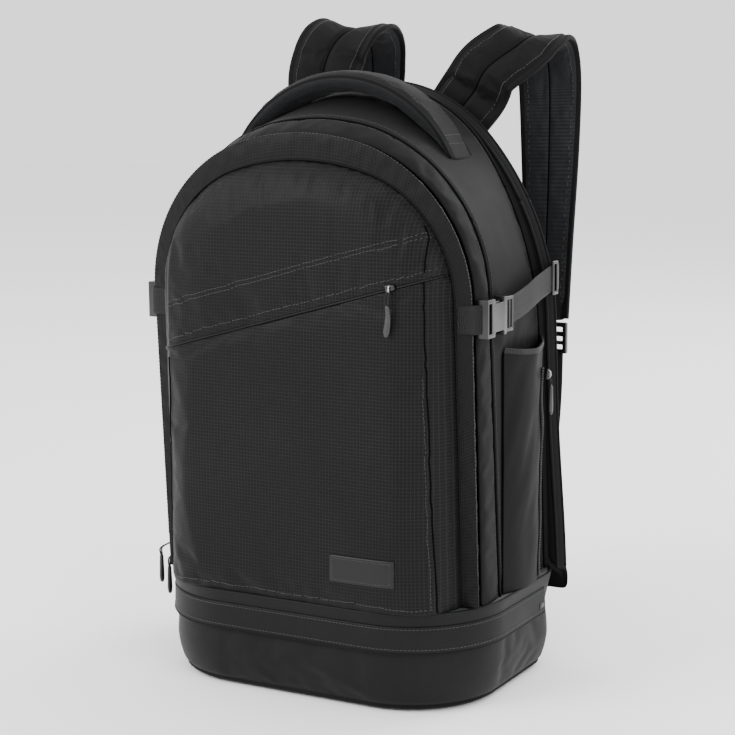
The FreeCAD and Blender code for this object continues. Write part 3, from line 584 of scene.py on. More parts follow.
class Tailor:
    """Runs one short cloth simulation over every piece that is handed in."""

    frames = 18

    def __init__(self) -> None:
        """Starts with nothing to drape."""
        self.jobs: list[tuple[bpy.types.Object, float]] = []

    def drape(self, piece: bpy.types.Object, pinned: Callable[[Vector], float], swell: float,
              slack: float, cap: float) -> None:
        """Lists a sheet whose cloth billows and wrinkles between its seams.

        Args:
            piece: A sheet with no thickness yet.
            pinned: How firmly each place is held, from 0 to 1.
            swell: Pressure behind the cloth.
            slack: How much larger the cloth is than the room it has.
            cap: The furthest that a point may move, in metres.
        """
        held = piece.vertex_groups.new(name="seams")
        rim = set()
        bm = bmesh.new()
        bm.from_mesh(piece.data)
        for vert in bm.verts:
            if vert.is_boundary:
                rim.add(vert.index)
        bm.free()
        for vert in piece.data.vertices:
            held.add([vert.index], 1.0 if vert.index in rim else pinned(vert.co), "REPLACE")
        cloth = piece.modifiers.new("cloth", "CLOTH")
        cloth.collision_settings.use_collision = False
        rules = cloth.settings
        rules.quality = 5
        rules.mass = 0.25
        rules.tension_stiffness = 18
        rules.compression_stiffness = 18
        rules.shear_stiffness = 8
        rules.bending_stiffness = 0.35
        rules.vertex_group_mass = held.name
        rules.pin_stiffness = 1.0
        rules.use_pressure = True
        rules.uniform_pressure_force = swell
        rules.shrink_min = -slack
        rules.effector_weights.gravity = 0.0
        cloth.point_cache.frame_start = 1
        cloth.point_cache.frame_end = self.frames
        self.jobs.append((piece, cap))

    def run(self) -> None:
        """Steps the simulation, caps each point's way and applies it."""
        scene = bpy.context.scene
        for frame in range(1, self.frames + 1):
            scene.frame_set(frame)
        for piece, cap in self.jobs:
            before = [v.co.copy() for v in piece.data.vertices]
            applied(piece)
            for vert, start in zip(piece.data.vertices, before):
                way = vert.co - start
                if way.length > cap:
                    vert.co = start + way * (cap / way.length)
        scene.frame_set(1)


def surface_of(pieces: Iterable[bpy.types.Object]) -> BVHTree:
    """A search tree over the pieces' faces."""
    verts: list[Vector] = []
    faces: list[tuple[int, ...]] = []
    for piece in pieces:
        base = len(verts)
        verts += [v.co.copy() for v in piece.data.vertices]
        faces += [tuple(base + i for i in p.vertices) for p in piece.data.polygons]
    return BVHTree.FromPolygons(verts, faces)


class Needle:
    """Sews rows of stitches onto finished cloth."""

    def __init__(self, thread: bpy.types.Material) -> None:
        """Threads the needle.

        Args:
            thread: The thread's material.
        """
        self.thread = thread

    def row(self, name: str, lines: Sequence[tuple[Line, float]], cloth: Sequence[bpy.types.Object],
            pitch: float = 3.6 * MM, length: float = 2.6 * MM, width: float = 0.75 * MM) -> bpy.types.Object:
        """Sews rows of stitches along lines that run near the cloth.

        Args:
            name: The rows' name.
            lines: Each row's line over 0 to 1, and its length in metres.
            cloth: The pieces it is sewn to.
            pitch: Distance from stitch to stitch.
            length: Length of a stitch.
            width: Its thickness.

        Returns:
            All the stitches as one object.
        """
        tree = surface_of(cloth)
        work = Cut(name)
        for line, span in lines:
            count = max(2, int(span / pitch))
            for i in range(count):
                here = (i + 0.5) / count
                place, normal, _, _ = tree.find_nearest(line(here))
                ahead = line(min(here + 0.5 / count, 1.0)) - line(max(here - 0.5 / count, 0.0))
                run = (ahead - normal * ahead.dot(normal)).normalized()
                side = normal.cross(run)
                turn = Matrix((side, normal, run)).transposed().to_4x4()
                turn.translation = place + normal * width * 0.12
                size = Matrix.Diagonal((width, width * 0.7, length, 1.0))
                bmesh.ops.create_cone(work.bm, cap_ends=True, segments=6, radius1=0.42, radius2=0.42,
                                      depth=1.0, matrix=turn @ size)
        return work.finish(self.thread)


# ---------------------------------------------------------------- outlines


@dataclass(frozen=True)
class Arch:
    """An arched seam of the pack, in a plane that leans back towards its top."""

    half_width: float
    top: float
    foot_y: float
    head_y: float
    drop: float
    roundness: float
    foot: float

    @cached_property
    def shape(self) -> tuple:
        """Crown radius, side radius, their centres and the angle where they meet."""
        w, drop = self.half_width, self.drop
        crown_r = self.roundness * w
        side_r = (2 * crown_r * drop - drop ** 2 - w ** 2) / (2 * (crown_r - w))
        side = (side_r - w, self.top - drop)
        crown = (0.0, self.top - crown_r)
        meet = math.atan2(abs(crown[1] - side[1]), -abs(side[0]))
        return crown_r, side_r, side, crown, meet

    def y_at(self, z: float) -> float:
        """Depth of the leaning plane at a height."""
        return lerp(self.foot_y, self.head_y, (z - self.foot) / (self.top - self.foot))

    @cached_property
    def length(self) -> float:
        """Length from foot to foot."""
        crown_r, side_r, side, _, meet = self.shape
        return 2 * (side[1] - self.foot + side_r * (math.pi - meet) + crown_r * (meet - math.pi / 2))

    def at(self, share: float, out: float = 0.0, shift: float = 0.0) -> Vector:
        """A place along the arch.

        Args:
            share: How far along it, from the left foot at 0 to the right foot at 1.
            out: Distance outside the arch.
            shift: Distance behind its plane.

        Returns:
            The place.
        """
        x, z, cos_a, sin_a, hand = self._trace(share)
        z += out * sin_a
        return Vector((hand * (x + out * cos_a), self.y_at(z) + shift, z))

    def out(self, share: float) -> Vector:
        """Direction away from the pack at a place along the arch."""
        _, _, cos_a, sin_a, hand = self._trace(share)
        return Vector((hand * cos_a, 0.0, sin_a))

    def _trace(self, share: float) -> tuple[float, float, float, float, float]:
        """Left-hand x and z of a place, the outward direction there, and which hand it is on."""
        crown_r, side_r, side, crown, meet = self.shape
        way = share * self.length
        hand = 1.0
        if way > self.length / 2:
            way = self.length - way
            hand = -1.0
        straight = side[1] - self.foot
        bend = side_r * (math.pi - meet)
        if way < straight:
            return -self.half_width, self.foot + way, -1.0, 0.0, hand
        if way < straight + bend:
            a = math.pi - (way - straight) / side_r
            across, up = math.cos(a), math.sin(a)
            return side[0] + side_r * across, side[1] + side_r * up, across, up, hand
        a = meet - (way - straight - bend) / crown_r
        across, up = math.cos(a), math.sin(a)
        return crown_r * across, crown[1] + crown_r * up, across, up, hand

    def share_at(self, z: float) -> float:
        """How far along its left side the arch reaches a height."""
        low, high = 0.0, 0.5
        for _ in range(40):
            mid = (low + high) / 2
            if self.at(mid).z < z:
                low = mid
            else:
                high = mid
        return low

    def inside(self, x: float, z: float) -> float:
        """Distance from a place inside the arch to its sides and crown."""
        crown_r, side_r, side, crown, meet = self.shape
        if z <= side[1]:
            return self.half_width - abs(x)
        px, pz = -abs(x) - side[0], z - side[1]
        if math.atan2(pz, px) > meet:
            return side_r - math.hypot(px, pz)
        return crown_r - math.hypot(x, z - crown[1])


@dataclass(frozen=True)
class Footprint:
    """Plan outline of the base: wide round corners in front, tighter ones behind."""

    half_width: float
    front: float
    rear: float
    front_r: float
    rear_r: float

    def _runs(self, inset: float) -> list[tuple]:
        """Straight and round stretches from the rear's middle, round by the left side, and back."""
        w, f, r = self.half_width - inset, -self.front + inset, self.rear - inset
        fr, rr = self.front_r - inset, self.rear_r - inset
        return [
            ("line", (0.0, r), (-w + rr, r)),
            ("arc", (-w + rr, r - rr), rr, 90.0),
            ("line", (-w, r - rr), (-w, f + fr)),
            ("arc", (-w + fr, f + fr), fr, 180.0),
            ("line", (-w + fr, f), (w - fr, f)),
            ("arc", (w - fr, f + fr), fr, 270.0),
            ("line", (w, f + fr), (w, r - rr)),
            ("arc", (w - rr, r - rr), rr, 360.0),
            ("line", (w - rr, r), (0.0, r)),
        ]

    @staticmethod
    def _length(run: tuple) -> float:
        """Length of one stretch."""
        if run[0] == "line":
            return math.dist(run[1], run[2])
        return run[2] * math.pi / 2

    def length(self, inset: float = 0.0) -> float:
        """Length of the whole outline."""
        return sum(self._length(run) for run in self._runs(inset))

    def at(self, share: float, inset: float, z: float) -> Vector:
        """A place along the outline, drawn in by an inset, at a height.

        Args:
            share: How far round, from the middle of the rear by the left side.
            inset: How far inside the outline.
            z: Height.

        Returns:
            The place.
        """
        base = self._runs(0.0)
        way = min(max(share, 0.0), 1.0) * self.length()
        for run, drawn in zip(base, self._runs(inset)):
            span = self._length(run)
            if way <= span or run is base[-1]:
                part = min(way / span, 1.0)
                if run[0] == "line":
                    return Vector((lerp(drawn[1][0], drawn[2][0], part), lerp(drawn[1][1], drawn[2][1], part),
                                   z))
                a = math.radians(drawn[3] + 90.0 * part)
                return Vector((drawn[1][0] + drawn[2] * math.cos(a), drawn[1][1] + drawn[2] * math.sin(a), z))
            way -= span
        raise ValueError("share is outside the outline")

    def share_at_side(self, y: float) -> float:
        """How far round the left side is at a depth."""
        runs = self._runs(0.0)
        before = sum(self._length(run) for run in runs[:2])
        return (before + (self.rear - self.rear_r) - y) / self.length()


@dataclass
class Pack:
    """The bag's shared outlines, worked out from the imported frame."""

    base: Footprint = field(init=False)
    seam: Arch = field(init=False)
    zip: Arch = field(init=False)
    gusset: Arch = field(init=False)
    back_seam: Arch = field(init=False)
    back_edge: Arch = field(init=False)
    base_top: float = field(init=False)
    top: float = field(init=False)
    half_width: float = field(init=False)
    front: float = field(init=False)
    rear: float = field(init=False)
    zip_half: float = 4.5 * MM

    def __post_init__(self) -> None:
        """Reads the frame's boxes and sets out the seams."""
        low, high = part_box("base_band")
        self.half_width, self.front, self.rear = high.x, -low.y, high.y
        self.base_top = high.z
        self.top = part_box("back_pad")[1].z
        w, f, r, t, foot = self.half_width, self.front, self.rear, self.top, self.base_top
        self.base = Footprint(w, f, r, 95 * MM, 38 * MM)
        self.seam = Arch(w - 22 * MM, t - 66 * MM, 50 * MM - f, 28 * MM - f, 120 * MM, 1.53, foot)
        self.zip = Arch(w - 7 * MM, t - 43 * MM, 56 * MM - f, 35 * MM - f, 145 * MM, 1.42, foot)
        self.gusset = Arch(w - 8 * MM, t - 31 * MM, 97.5 * MM - f, 62 * MM - f, 150 * MM, 1.33, foot)
        self.back_seam = Arch(w - 12 * MM, t - 3 * MM, r - 19 * MM, r - 51 * MM, 226 * MM, 0.82, foot)
        self.back_edge = Arch(w - 2 * MM, t, r - 11 * MM, r - 43 * MM, 216 * MM, 0.83, foot)

    def pad_rear(self, z: float) -> float:
        """Depth of the back pad's rear face at a height."""
        return self.back_edge.y_at(z) + 25 * MM


@dataclass(frozen=True)
class Patch:
    """A four-sided cut in the front's own plane, between boundary lines of (x, z)."""

    bottom: Line
    top: Line
    left: Line
    right: Line

    def at(self, u: float, v: float) -> Vector:
        """A place inside the cut, blended from its four sides."""
        sides = self.bottom(u) * (1 - v) + self.top(u) * v + self.left(v) * (1 - u) + self.right(v) * u
        corners = (self.bottom(0.0) * (1 - u) * (1 - v) + self.bottom(1.0) * u * (1 - v)
                   + self.top(0.0) * (1 - u) * v + self.top(1.0) * u * v)
        return sides - corners


# ---------------------------------------------------------------- workshop


@dataclass
class Shop:
    """What every sub-assembly works with: the frame, the outlines, the finishes and the tools."""

    frame: dict
    pack: Pack
    wardrobe: Wardrobe
    tailor: Tailor
    needle: Needle

    def cloth(self, slot: str) -> bpy.types.Material:
        """The material of one of the record's slots."""
        return self.wardrobe.by_slot[slot]

    def place(self, piece: bpy.types.Object, body: str, slot: str = "", stands_for: Sequence[str] = (),
              fill: float | None = None) -> bpy.types.Object:
        """Puts a finished piece on its body.

        Args:
            piece: The piece, with its final mesh.
            body: The body that it moves with.
            slot: The record's material slot; not used.
            stands_for: The frame's nodes that it is shown instead of.
            fill: How tightly it is stuffed, for a padded piece; not used.

        Returns:
            The piece.
        """
        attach(piece, body)
        return self._register(piece, slot, stands_for, fill)

    def bend(self, piece: bpy.types.Object, bodies: tuple[str, str], start: Vector, end: Vector,
             slot: str = "", stands_for: Sequence[str] = (), fill: float | None = None) -> bpy.types.Object:
        """Keeps a finished piece where it is, baking its transform into its mesh, without parenting it to a
        body.

        Args:
            piece: The piece, with its final mesh.
            bodies: The two bodies; not used.
            start: Not used.
            end: Not used.
            slot: The record's material slot; not used.
            stands_for: The frame's nodes that it is shown instead of.
            fill: How tightly it is stuffed, for a padded piece; not used.

        Returns:
            The piece.
        """
        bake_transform(piece)
        return self._register(piece, slot, stands_for, fill)

    @staticmethod
    def _register(piece: bpy.types.Object, slot: str, stands_for: Sequence[str],
                  fill: float | None) -> bpy.types.Object:
        """Hides the frame's nodes that the piece stands for and logs its face count."""
        if stands_for:
            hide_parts(*stands_for)
        LOG.info("%s: %d faces", piece.name, len(piece.data.polygons))
        return piece

    def keep(self, node: str, slot: str) -> None:
        """Shows one of the frame's rigid nodes as it is, in its finish."""
        part = self.frame["nodes"][node]
        part.data.materials.clear()
        part.data.materials.append(self.cloth(slot))
        LOG.info("%s: kept", node)

    def moulding(self, name: str, node: str, slot: str, radius: float = 0.7 * MM,
                 segments: int = 3) -> bpy.types.Object:
        """Copies a moulded node and rounds its edges.

        Args:
            name: The new piece's name.
            node: The frame's node.
            slot: Its material slot.
            radius: Size of the rounding.
            segments: Faces across the rounding.

        Returns:
            The rounded piece, not yet placed.
        """
        work = Cut(name)
        work.bm.from_mesh(self.frame["nodes"][node].data)
        bmesh.ops.remove_doubles(work.bm, verts=work.bm.verts, dist=1e-6)
        bmesh.ops.dissolve_limit(work.bm, angle_limit=math.radians(3), verts=work.bm.verts,
                                 edges=work.bm.edges)
        sharp = [e for e in work.bm.edges if len(e.link_faces) == 2
                 and e.calc_face_angle() > math.radians(35)]
        bmesh.ops.bevel(work.bm, geom=sharp, offset=radius, offset_type="OFFSET", segments=segments,
                        profile=0.5, affect="EDGES", material=-1, clamp_overlap=True)
        bmesh.ops.triangulate(work.bm, faces=[f for f in work.bm.faces if len(f.verts) > 4])
        return work.finish(self.cloth(slot))


def curve_through(points: Sequence[Vector]) -> Line:
    """A smooth line through points, one stretch to each pair.

    Args:
        points: The places that it passes.

    Returns:
        The line over 0 to 1.
    """
    last = len(points) - 1

    def at(t: float) -> Vector:
        """A place on the line."""
        step = min(max(t, 0.0), 1.0) * last
        i = min(int(step), last - 1)
        s = step - i
        p1, p2 = points[i], points[i + 1]
        p0 = points[i - 1] if i else p1 * 2 - p2
        p3 = points[i + 2] if i + 2 <= last else p2 * 2 - p1
        return (p1 * 2 + (p2 - p0) * s + (p0 * 2 - p1 * 5 + p2 * 4 - p3) * s ** 2
                + (p1 * 3 - p0 - p2 * 3 + p3) * s ** 3) * 0.5

    return at


def length_of(line: Line, steps: int = 60) -> float:
    """Length of a line over 0 to 1."""
    places = [line(i / steps) for i in range(steps + 1)]
    return sum((b - a).length for a, b in zip(places, places[1:]))


def ribbon(name: str, line: Line, across: Callable[[float], Vector], width: float, thick: float,
           material: bpy.types.Material, steps: int = 40, wave: float = 0.0) -> bpy.types.Object:
    """Flat webbing or binding along a line, with rounded selvedges.

    Args:
        name: Its name.
        line: Its middle.
        across: Direction of its width along the line.
        width: Its width.
        thick: Its thickness.
        material: Its finish.
        steps: Faces along it.
        wave: Height of the soft waves in it.

    Returns:
        The ribbon, closed all round.
    """
    work = Cut(name)
    length = length_of(line)

    def place(u: float, v: float) -> Vector:
        """A place on its skin."""
        ahead = (line(min(v + 0.01, 1.0)) - line(max(v - 0.01, 0.0))).normalized()
        side = across(v)
        side = (side - ahead * side.dot(ahead)).normalized()
        normal = side.cross(ahead)
        a = 2 * math.pi * u
        x = squared(math.cos(a), 0.35) * width / 2
        y = squared(math.sin(a), 0.5) * thick / 2
        lift = wave * math.sin(v * math.pi) * ripple(line(v), 0.02, width)
        return line(v) + side * x + normal * (y + lift)

    work.hose(place, 28, steps, 2 * width, length)
    return work.finish(material)


def cordlet(name: str, line: Line, radius: float, material: bpy.types.Material, steps: int = 40,
            around: int = 10) -> bpy.types.Object:
    """A round cord, piping or wire along a line.

    Args:
        name: Its name.
        line: Its middle.
        radius: Its radius.
        material: Its finish.
        steps: Faces along it.
        around: Faces round it.

    Returns:
        The cord, closed at both ends.
    """
    work = Cut(name)
    length = length_of(line)

    def place(u: float, v: float) -> Vector:
        """A place on its skin."""
        ahead = (line(min(v + 0.01, 1.0)) - line(max(v - 0.01, 0.0))).normalized()
        side = ahead.cross(UP if abs(ahead.z) < 0.9 else FRONT).normalized()
        a = 2 * math.pi * u
        return line(v) + (side * math.cos(a) + side.cross(ahead) * math.sin(a)) * radius

    work.hose(place, around, steps, 2 * math.pi * radius, length)
    return work.finish(material)


def seam_line(name: str, line: Line, cloth: Sequence[bpy.types.Object], material: bpy.types.Material,
              radius: float = 0.75 * MM, steps: int = 80) -> bpy.types.Object:
    """A folded seam drawn as painted shade: a thin dark cord half sunk into the nearest cloth, standing in
    for the shadow in the seam.

    Args:
        name: Its name.
        line: A line that runs just outside the cloth.
        cloth: The pieces that it is sewn into.
        material: Its finish.
        radius: Half its width.
        steps: Faces along it.

    Returns:
        The seam.
    """
    tree = surface_of(cloth)
    places = []
    for i in range(steps + 1):
        spot, normal, _, _ = tree.find_nearest(line(i / steps))
        places.append(spot + normal * 0.15 * MM)
    return cordlet(name, curve_through(places), radius, material, 2 * steps, 8)


def teeth(name: str, line: Line, along: float, out: Callable[[float], Vector], size: Vector,
          material: bpy.types.Material, shift: float = 0.0) -> bpy.types.Object:
    """The coil of one zip half: a row of small bars across its edge.

    Args:
        name: Its name.
        line: The row's line.
        along: Length of the row in metres.
        out: Direction away from the tape along the line.
        size: Each bar's length across, height and thickness along the row.
        material: Its finish.
        shift: How far the row is moved across.

    Returns:
        All the bars as one piece.
    """
    work = Cut(name)
    count = max(2, int(along / (2.4 * MM)))
    for i in range(count):
        t = (i + 0.5) / count
        ahead = (line(min(t + 0.004, 1.0)) - line(max(t - 0.004, 0.0))).normalized()
        up = out(t)
        up = (up - ahead * up.dot(ahead)).normalized()
        side = up.cross(ahead)
        turn = Matrix((side, up, ahead)).transposed().to_4x4()
        turn.translation = line(t) + side * shift
        bmesh.ops.create_cone(work.bm, cap_ends=True, segments=6, radius1=0.5, radius2=0.5, depth=1.0,
                              matrix=turn @ Matrix.Diagonal((size.x, size.y, size.z, 1.0)))
    return work.finish(material)


# ---------------------------------------------------------------- base


@dataclass
class BootBase:
    """The boot compartment: tub, zip, band and storm flap."""

    shop: Shop
    flank: float = 34 * MM
    zip_z: float = 64 * MM
    floor_inset: float = 12 * MM
    waist: float = 6 * MM
    flap_edge: float = 55 * MM
    flap_top: float = 80 * MM
    flap_rear: float = 78 * MM

    def inset(self, z: float) -> float:
        """How far the walls draw in at a height."""
        if z < self.flank:
            return lerp(self.floor_inset, self.waist - 2 * MM, ease(z / self.flank) ** 0.6)
        if z < self.zip_z:
            return lerp(self.waist - 2 * MM, self.waist, ease((z - self.flank) / (self.zip_z - self.flank)))
        return self.waist * (self.shop.pack.base_top - z) / (self.shop.pack.base_top - self.zip_z)

    def cut(self) -> None:
        """Cuts the soft pieces and lists the tub for draping."""
        pack = self.shop.pack
        around = pack.base.length()
        middle = Vector((0.0, (pack.rear - pack.front) / 2, 0.0))

        def tub(u: float, v: float) -> Vector:
            """A place on the tub: the floor first, then up the wall."""
            if v < 0.34:
                rim = pack.base.at(u, self.floor_inset + 7 * MM, 0.0)
                return middle + (rim - middle) * (v / 0.34)
            if v < 0.46:
                a = (v - 0.34) / 0.12 * math.pi / 2
                return pack.base.at(u, self.floor_inset + 7 * MM * (1 - math.sin(a)),
                                    7 * MM * (1 - math.cos(a)))
            t = (v - 0.46) / 0.54
            z = lerp(7 * MM, self.zip_z - 1 * MM, t)
            spot = pack.base.at(u, self.inset(z), z)
            fine = ripple(Vector((spot.x, spot.y, z * 3)), 26 * MM, 9)
            puff = 0.5 * MM * ripple(spot, 45 * MM, 3) + 0.3 * MM * fine
            return pack.base.at(u, self.inset(z) - puff * math.sin(t * math.pi), z)

        work = Cut("boot_tub_skin")
        verts = work.sheet(tub, 200, 40, around, 0.18)
        bmesh.ops.remove_doubles(work.bm, verts=verts, dist=1e-6)
        self.tub = work.finish(self.shop.cloth("base_fabric"))
        self.shop.tailor.drape(self.tub, self._tub_pins, 1.0, 0.004, 1.8 * MM)

        def band(u: float, v: float) -> Vector:
            """A place on the band above the zip."""
            z = lerp(self.zip_z + 0.5 * MM, pack.base_top - 0.2 * MM, v)
            return pack.base.at(u, self.inset(z), z)

        work = Cut("base_band_skin")
        verts = work.sheet(band, 260, 10, around, 0.03)
        bmesh.ops.remove_doubles(work.bm, verts=verts, dist=1e-6)
        self.band = work.finish(self.shop.cloth("base_fabric"))

    def _tub_pins(self, spot: Vector) -> float:
        """The floor is held by its board, and the corner piping holds its rim."""
        if spot.z < 8 * MM:
            return 1.0
        return 0.0

    def flap_line(self, z: float, lift: float) -> Line:
        """A line round the front and sides of the flap at a height."""
        pack = self.shop.pack
        start = pack.base.share_at_side(self.flap_rear)

        def at(t: float) -> Vector:
            """A place on the line."""
            share = lerp(start, 1 - start, t)
            drop = (self.flap_top - z) / (self.flap_top - self.flap_edge)
            base_inset = lerp(self.inset(self.flap_top) + 0.6 * MM, 2.6 * MM, drop)
            spot = pack.base.at(share, base_inset - lift, z)
            wave = 0.5 * MM * ripple(spot, 60 * MM, 5) * drop
            height = z + 0.8 * MM * ripple(spot, 60 * MM, 8) * drop
            return pack.base.at(share, base_inset - lift - wave, height)

        return at

    def sew(self) -> None:
        """Finishes the pieces, sews them and places them."""
        shop, pack = self.shop, self.shop.pack
        finished(self.tub, 2.4 * MM, 1)
        shop.place(self.tub, "base", "base_fabric", ["boot_tub"], 0.2)
        finished(self.band, 2.4 * MM, 1)
        shop.place(self.band, "pack_body", "base_fabric", ["base_band"], 0.2)
        shop.keep("floor_board", "stiffener_plastic")
        rim = lambda t: pack.base.at(t, self.floor_inset + 1.2 * MM, 4.2 * MM)
        shop.place(cordlet("floor_piping", rim, 1.5 * MM, shop.cloth("shell_fabric"), 240), "base",
                   "shell_fabric")
        self._flap()
        self._zip()

    def _flap(self) -> None:
        """The flap that hangs over the zip, with its bound edge and stitching."""
        shop = self.shop
        top, low = self.flap_line(self.flap_top, 1.3 * MM), self.flap_line(self.flap_edge + 1 * MM, 1.4 * MM)
        work = Cut("storm_flap_cloth")
        length = length_of(low, 200)
        work.sheet(lambda u, v: low(u).lerp(top(u), v), 240, 8, length, 25 * MM)
        flap = finished(work.finish(shop.cloth("base_fabric")), 1.3 * MM, 1)
        shop.place(flap, "pack_body", "base_fabric", ["storm_flap"])
        edge = cordlet("storm_flap_edge", self.flap_line(self.flap_edge + 0.8 * MM, 0.8 * MM), 1.1 * MM,
                       shop.cloth("shell_fabric"), 240, 8)
        shop.place(edge, "pack_body", "shell_fabric")
        rows = [(self.flap_line(z, 6 * MM), length)
                for z in (self.flap_top - 2.2 * MM, self.flap_edge + 4.5 * MM)]
        shop.place(shop.needle.row("storm_flap_stitches", rows, [flap]), "pack_body")

    def _zip(self) -> None:
        """Tapes and coils of the boot zip."""
        shop, pack = self.shop, self.shop.pack
        start = pack.base.share_at_side(self.flap_rear)
        for name, body, low, high, edge in (
            ("lower", "base", self.zip_z - 5 * MM, self.zip_z - 1.0 * MM, self.zip_z - 0.9 * MM),
            ("upper", "pack_body", self.zip_z + 0.4 * MM, self.zip_z + 4 * MM, self.zip_z + 0.9 * MM),
        ):
            span = lambda t: lerp(start, 1 - start, t)
            work = Cut(f"boot_zip_{name}_cloth")
            work.sheet(lambda u, v: pack.base.at(span(u), self.waist - 0.9 * MM, lerp(low, high, v)),
                       200, 2, 0.6, 4 * MM)
            tape = finished(work.finish(shop.cloth("zip_tape")), 0.6 * MM)
            shop.place(tape, body, "zip_tape", [f"boot_zip_{name}_tape"])
            line = lambda t: pack.base.at(span(t), self.waist - 1.0 * MM, edge)
            out = lambda t: line(t) - pack.base.at(span(t), self.waist + 5 * MM, edge)
            row = teeth(f"boot_zip_{name}_coil", line, 0.62, out, vec(1.6, 1.1, 1.1), shop.wardrobe.coil)
            shop.place(row, body, "moulded_plastic")
        for side in ("right", "left"):
            node = f"boot_slider_{side}"
            shop.place(shop.moulding(f"{node}_body", node, "zip_metal", 0.5 * MM), node, "zip_metal", [node])


# ---------------------------------------------------------------- front


@dataclass
class FrontSection:
    """The opening front: lower panel, yoke, slanted pocket zip, border and label."""

    shop: Shop
    slant_left: float = 241 * MM
    slant_right: float = 159 * MM
    gap: float = 5 * MM
    flap: float = -0.6 * MM
    fold: tuple[float, float] = (95 * MM, 155 * MM)

    def face(self, x: float, z: float, lift: float = 0.0) -> Vector:
        """A place on the crowned front.

        Args:
            x: Across.
            z: Height.
            lift: Distance in front of it.

        Returns:
            The place.
        """
        pack = self.shop.pack
        seam = pack.seam
        inside = max(seam.inside(x, z), 0.0)
        share = (z - pack.base_top) / (seam.top - pack.base_top)
        full = lerp(50 * MM, 20 * MM, share)
        crown = full * (1 - math.exp(-inside / (12.5 * MM)))
        return Vector((x, seam.y_at(z) - crown - lift, z))

    def slant(self, x: float) -> float:
        """Height of the slanted zip."""
        pack = self.shop.pack
        half = pack.seam.half_width
        return lerp(pack.top - self.slant_left, pack.top - self.slant_right, (x + half) / (2 * half))

    def rib(self, z: float) -> float:
        """Half width between the two upright seams of the front."""
        return lerp(141.5 * MM, 133 * MM, (z - self.shop.pack.base_top) / (330 * MM))

    def _relief(self, x: float, z: float, foot: bool) -> float:
        """Height of the folds and seams over the face."""
        seam = self.shop.pack.seam
        edge = seam.inside(x, z)
        spot = Vector((x, 0, z))
        height = 1.5 * MM * ripple(spot, 95 * MM, 2) + 0.3 * MM * ripple(spot, 34 * MM, 4)
        gather = ripple(Vector((x * 3.2, 0, z * 0.55)), 26 * MM, 6) * well(edge - 9 * MM, 22 * MM)
        height += lerp(0.35, 1.7, well(x + 10 * MM, 62 * MM) * ease((z - 0.36) / 0.06)) * MM * gather
        height -= 2.2 * MM * well(edge, 3.0 * MM)
        ribbed = abs(abs(x) - self.rib(z))
        height -= 1.3 * MM * well(ribbed, 1.8 * MM) - 0.5 * MM * well(ribbed - 4 * MM, 3 * MM)
        if foot:
            rise = z - self.shop.pack.base_top
            fold = ripple(Vector((x * 2.6, 0, z * 0.5)), 24 * MM, 12)
            height += 0.8 * MM * fold * well(rise - 6 * MM, 12 * MM)
            height -= 0.9 * MM * well(rise, 2.5 * MM)
        return height

    def cut(self) -> None:
        """Cuts the two panels and lists them for draping."""
        pack = self.shop.pack
        seam = pack.seam
        w = seam.half_width
        foot = pack.base_top - 1.4 * MM
        s_left = seam.share_at(self.slant(-w) - self.gap / 2)
        s_right = 1 - seam.share_at(self.slant(w) - self.gap / 2)
        flat = lambda share: seam.at(share)
        lower = Patch(
            bottom=lambda u: Vector((lerp(-w, w, u), 0, foot)),
            top=lambda u: flat(s_left).lerp(flat(s_right), u),
            left=lambda v: flat(lerp(0.0, s_left, v)),
            right=lambda v: flat(lerp(1.0, s_right, v)),
        )
        self.panel = self._panel("front_panel_cloth", lower, 96, 88, 0.3, 0.25, True)
        y_left = seam.share_at(self.slant(-w) + self.flap)
        y_right = 1 - seam.share_at(self.slant(w) + self.flap)
        corner_l = seam.share_at(seam.top - 34 * MM)
        corner_r = 1 - corner_l
        upper = Patch(
            bottom=lambda u: flat(y_left).lerp(flat(y_right), u),
            top=lambda u: flat(lerp(corner_l, corner_r, u)),
            left=lambda v: flat(lerp(y_left, corner_l, v)),
            right=lambda v: flat(lerp(y_right, corner_r, v)),
        )
        self.yoke = self._panel("front_yoke_cloth", upper, 96, 66, 0.28, 0.18, False)
        self.border = self._border()
        for piece, swell, slack in ((self.panel, 1.3, 0.005), (self.yoke, 1.3, 0.007),
                                    (self.border, 0.8, 0.006)):
            self.shop.tailor.drape(piece, self._pins, swell, slack, 2.6 * MM)

    def _panel(self, name: str, patch: Patch, columns: int, rows: int, width: float, height: float,
               foot: bool) -> bpy.types.Object:
        """Cuts one panel of the crowned face."""
        work = Cut(name)

        def place(u: float, v: float) -> Vector:
            """A place on the panel."""
            spot = patch.at(u, v)
            return self.face(spot.x, spot.z, self._relief(spot.x, spot.z, foot))

        work.sheet(place, columns, rows, width, height)
        for face in work.bm.faces:
            for loop in face.loops:
                loop[work.uv].uv = (loop.vert.co.x, loop.vert.co.z)
        return work.finish(self.shop.cloth("ripstop_fabric"))

    def _pins(self, spot: Vector) -> float:
        """The upright seams hold the cloth."""
        if abs(abs(spot.x) - self.rib(spot.z)) < 2.0 * MM:
            return 0.9
        return 0.0

    def _border(self) -> bpy.types.Object:
        """Cuts the band between the front's seam and the main zip."""
        pack = self.shop.pack
        work = Cut("pocket_gusset_cloth")

        def place(u: float, v: float) -> Vector:
            """A place on the band."""
            near, far = pack.seam.at(u, -0.6 * MM, 0.4 * MM), pack.zip.at(u, 0.0, -pack.zip_half)
            out = pack.zip.out(u)
            spot = near.lerp(far, v)
            pucker = ripple(Vector((u * pack.zip.length * 3.4, v * 0.02, 0)), 26 * MM, 1)
            fold = ripple(Vector((u * pack.zip.length + v * 0.03, 0, v * 0.03)), 40 * MM, 7)
            bulge = 2.0 * MM * math.sin(math.pi * v) + 0.6 * MM * pucker * math.sin(math.pi * v) ** 0.7
            return spot + out * (bulge + 0.8 * MM * fold * math.sin(math.pi * v))

        work.sheet(place, 300, 12, pack.zip.length, 0.03)
        return work.finish(self.shop.cloth("ripstop_fabric"))

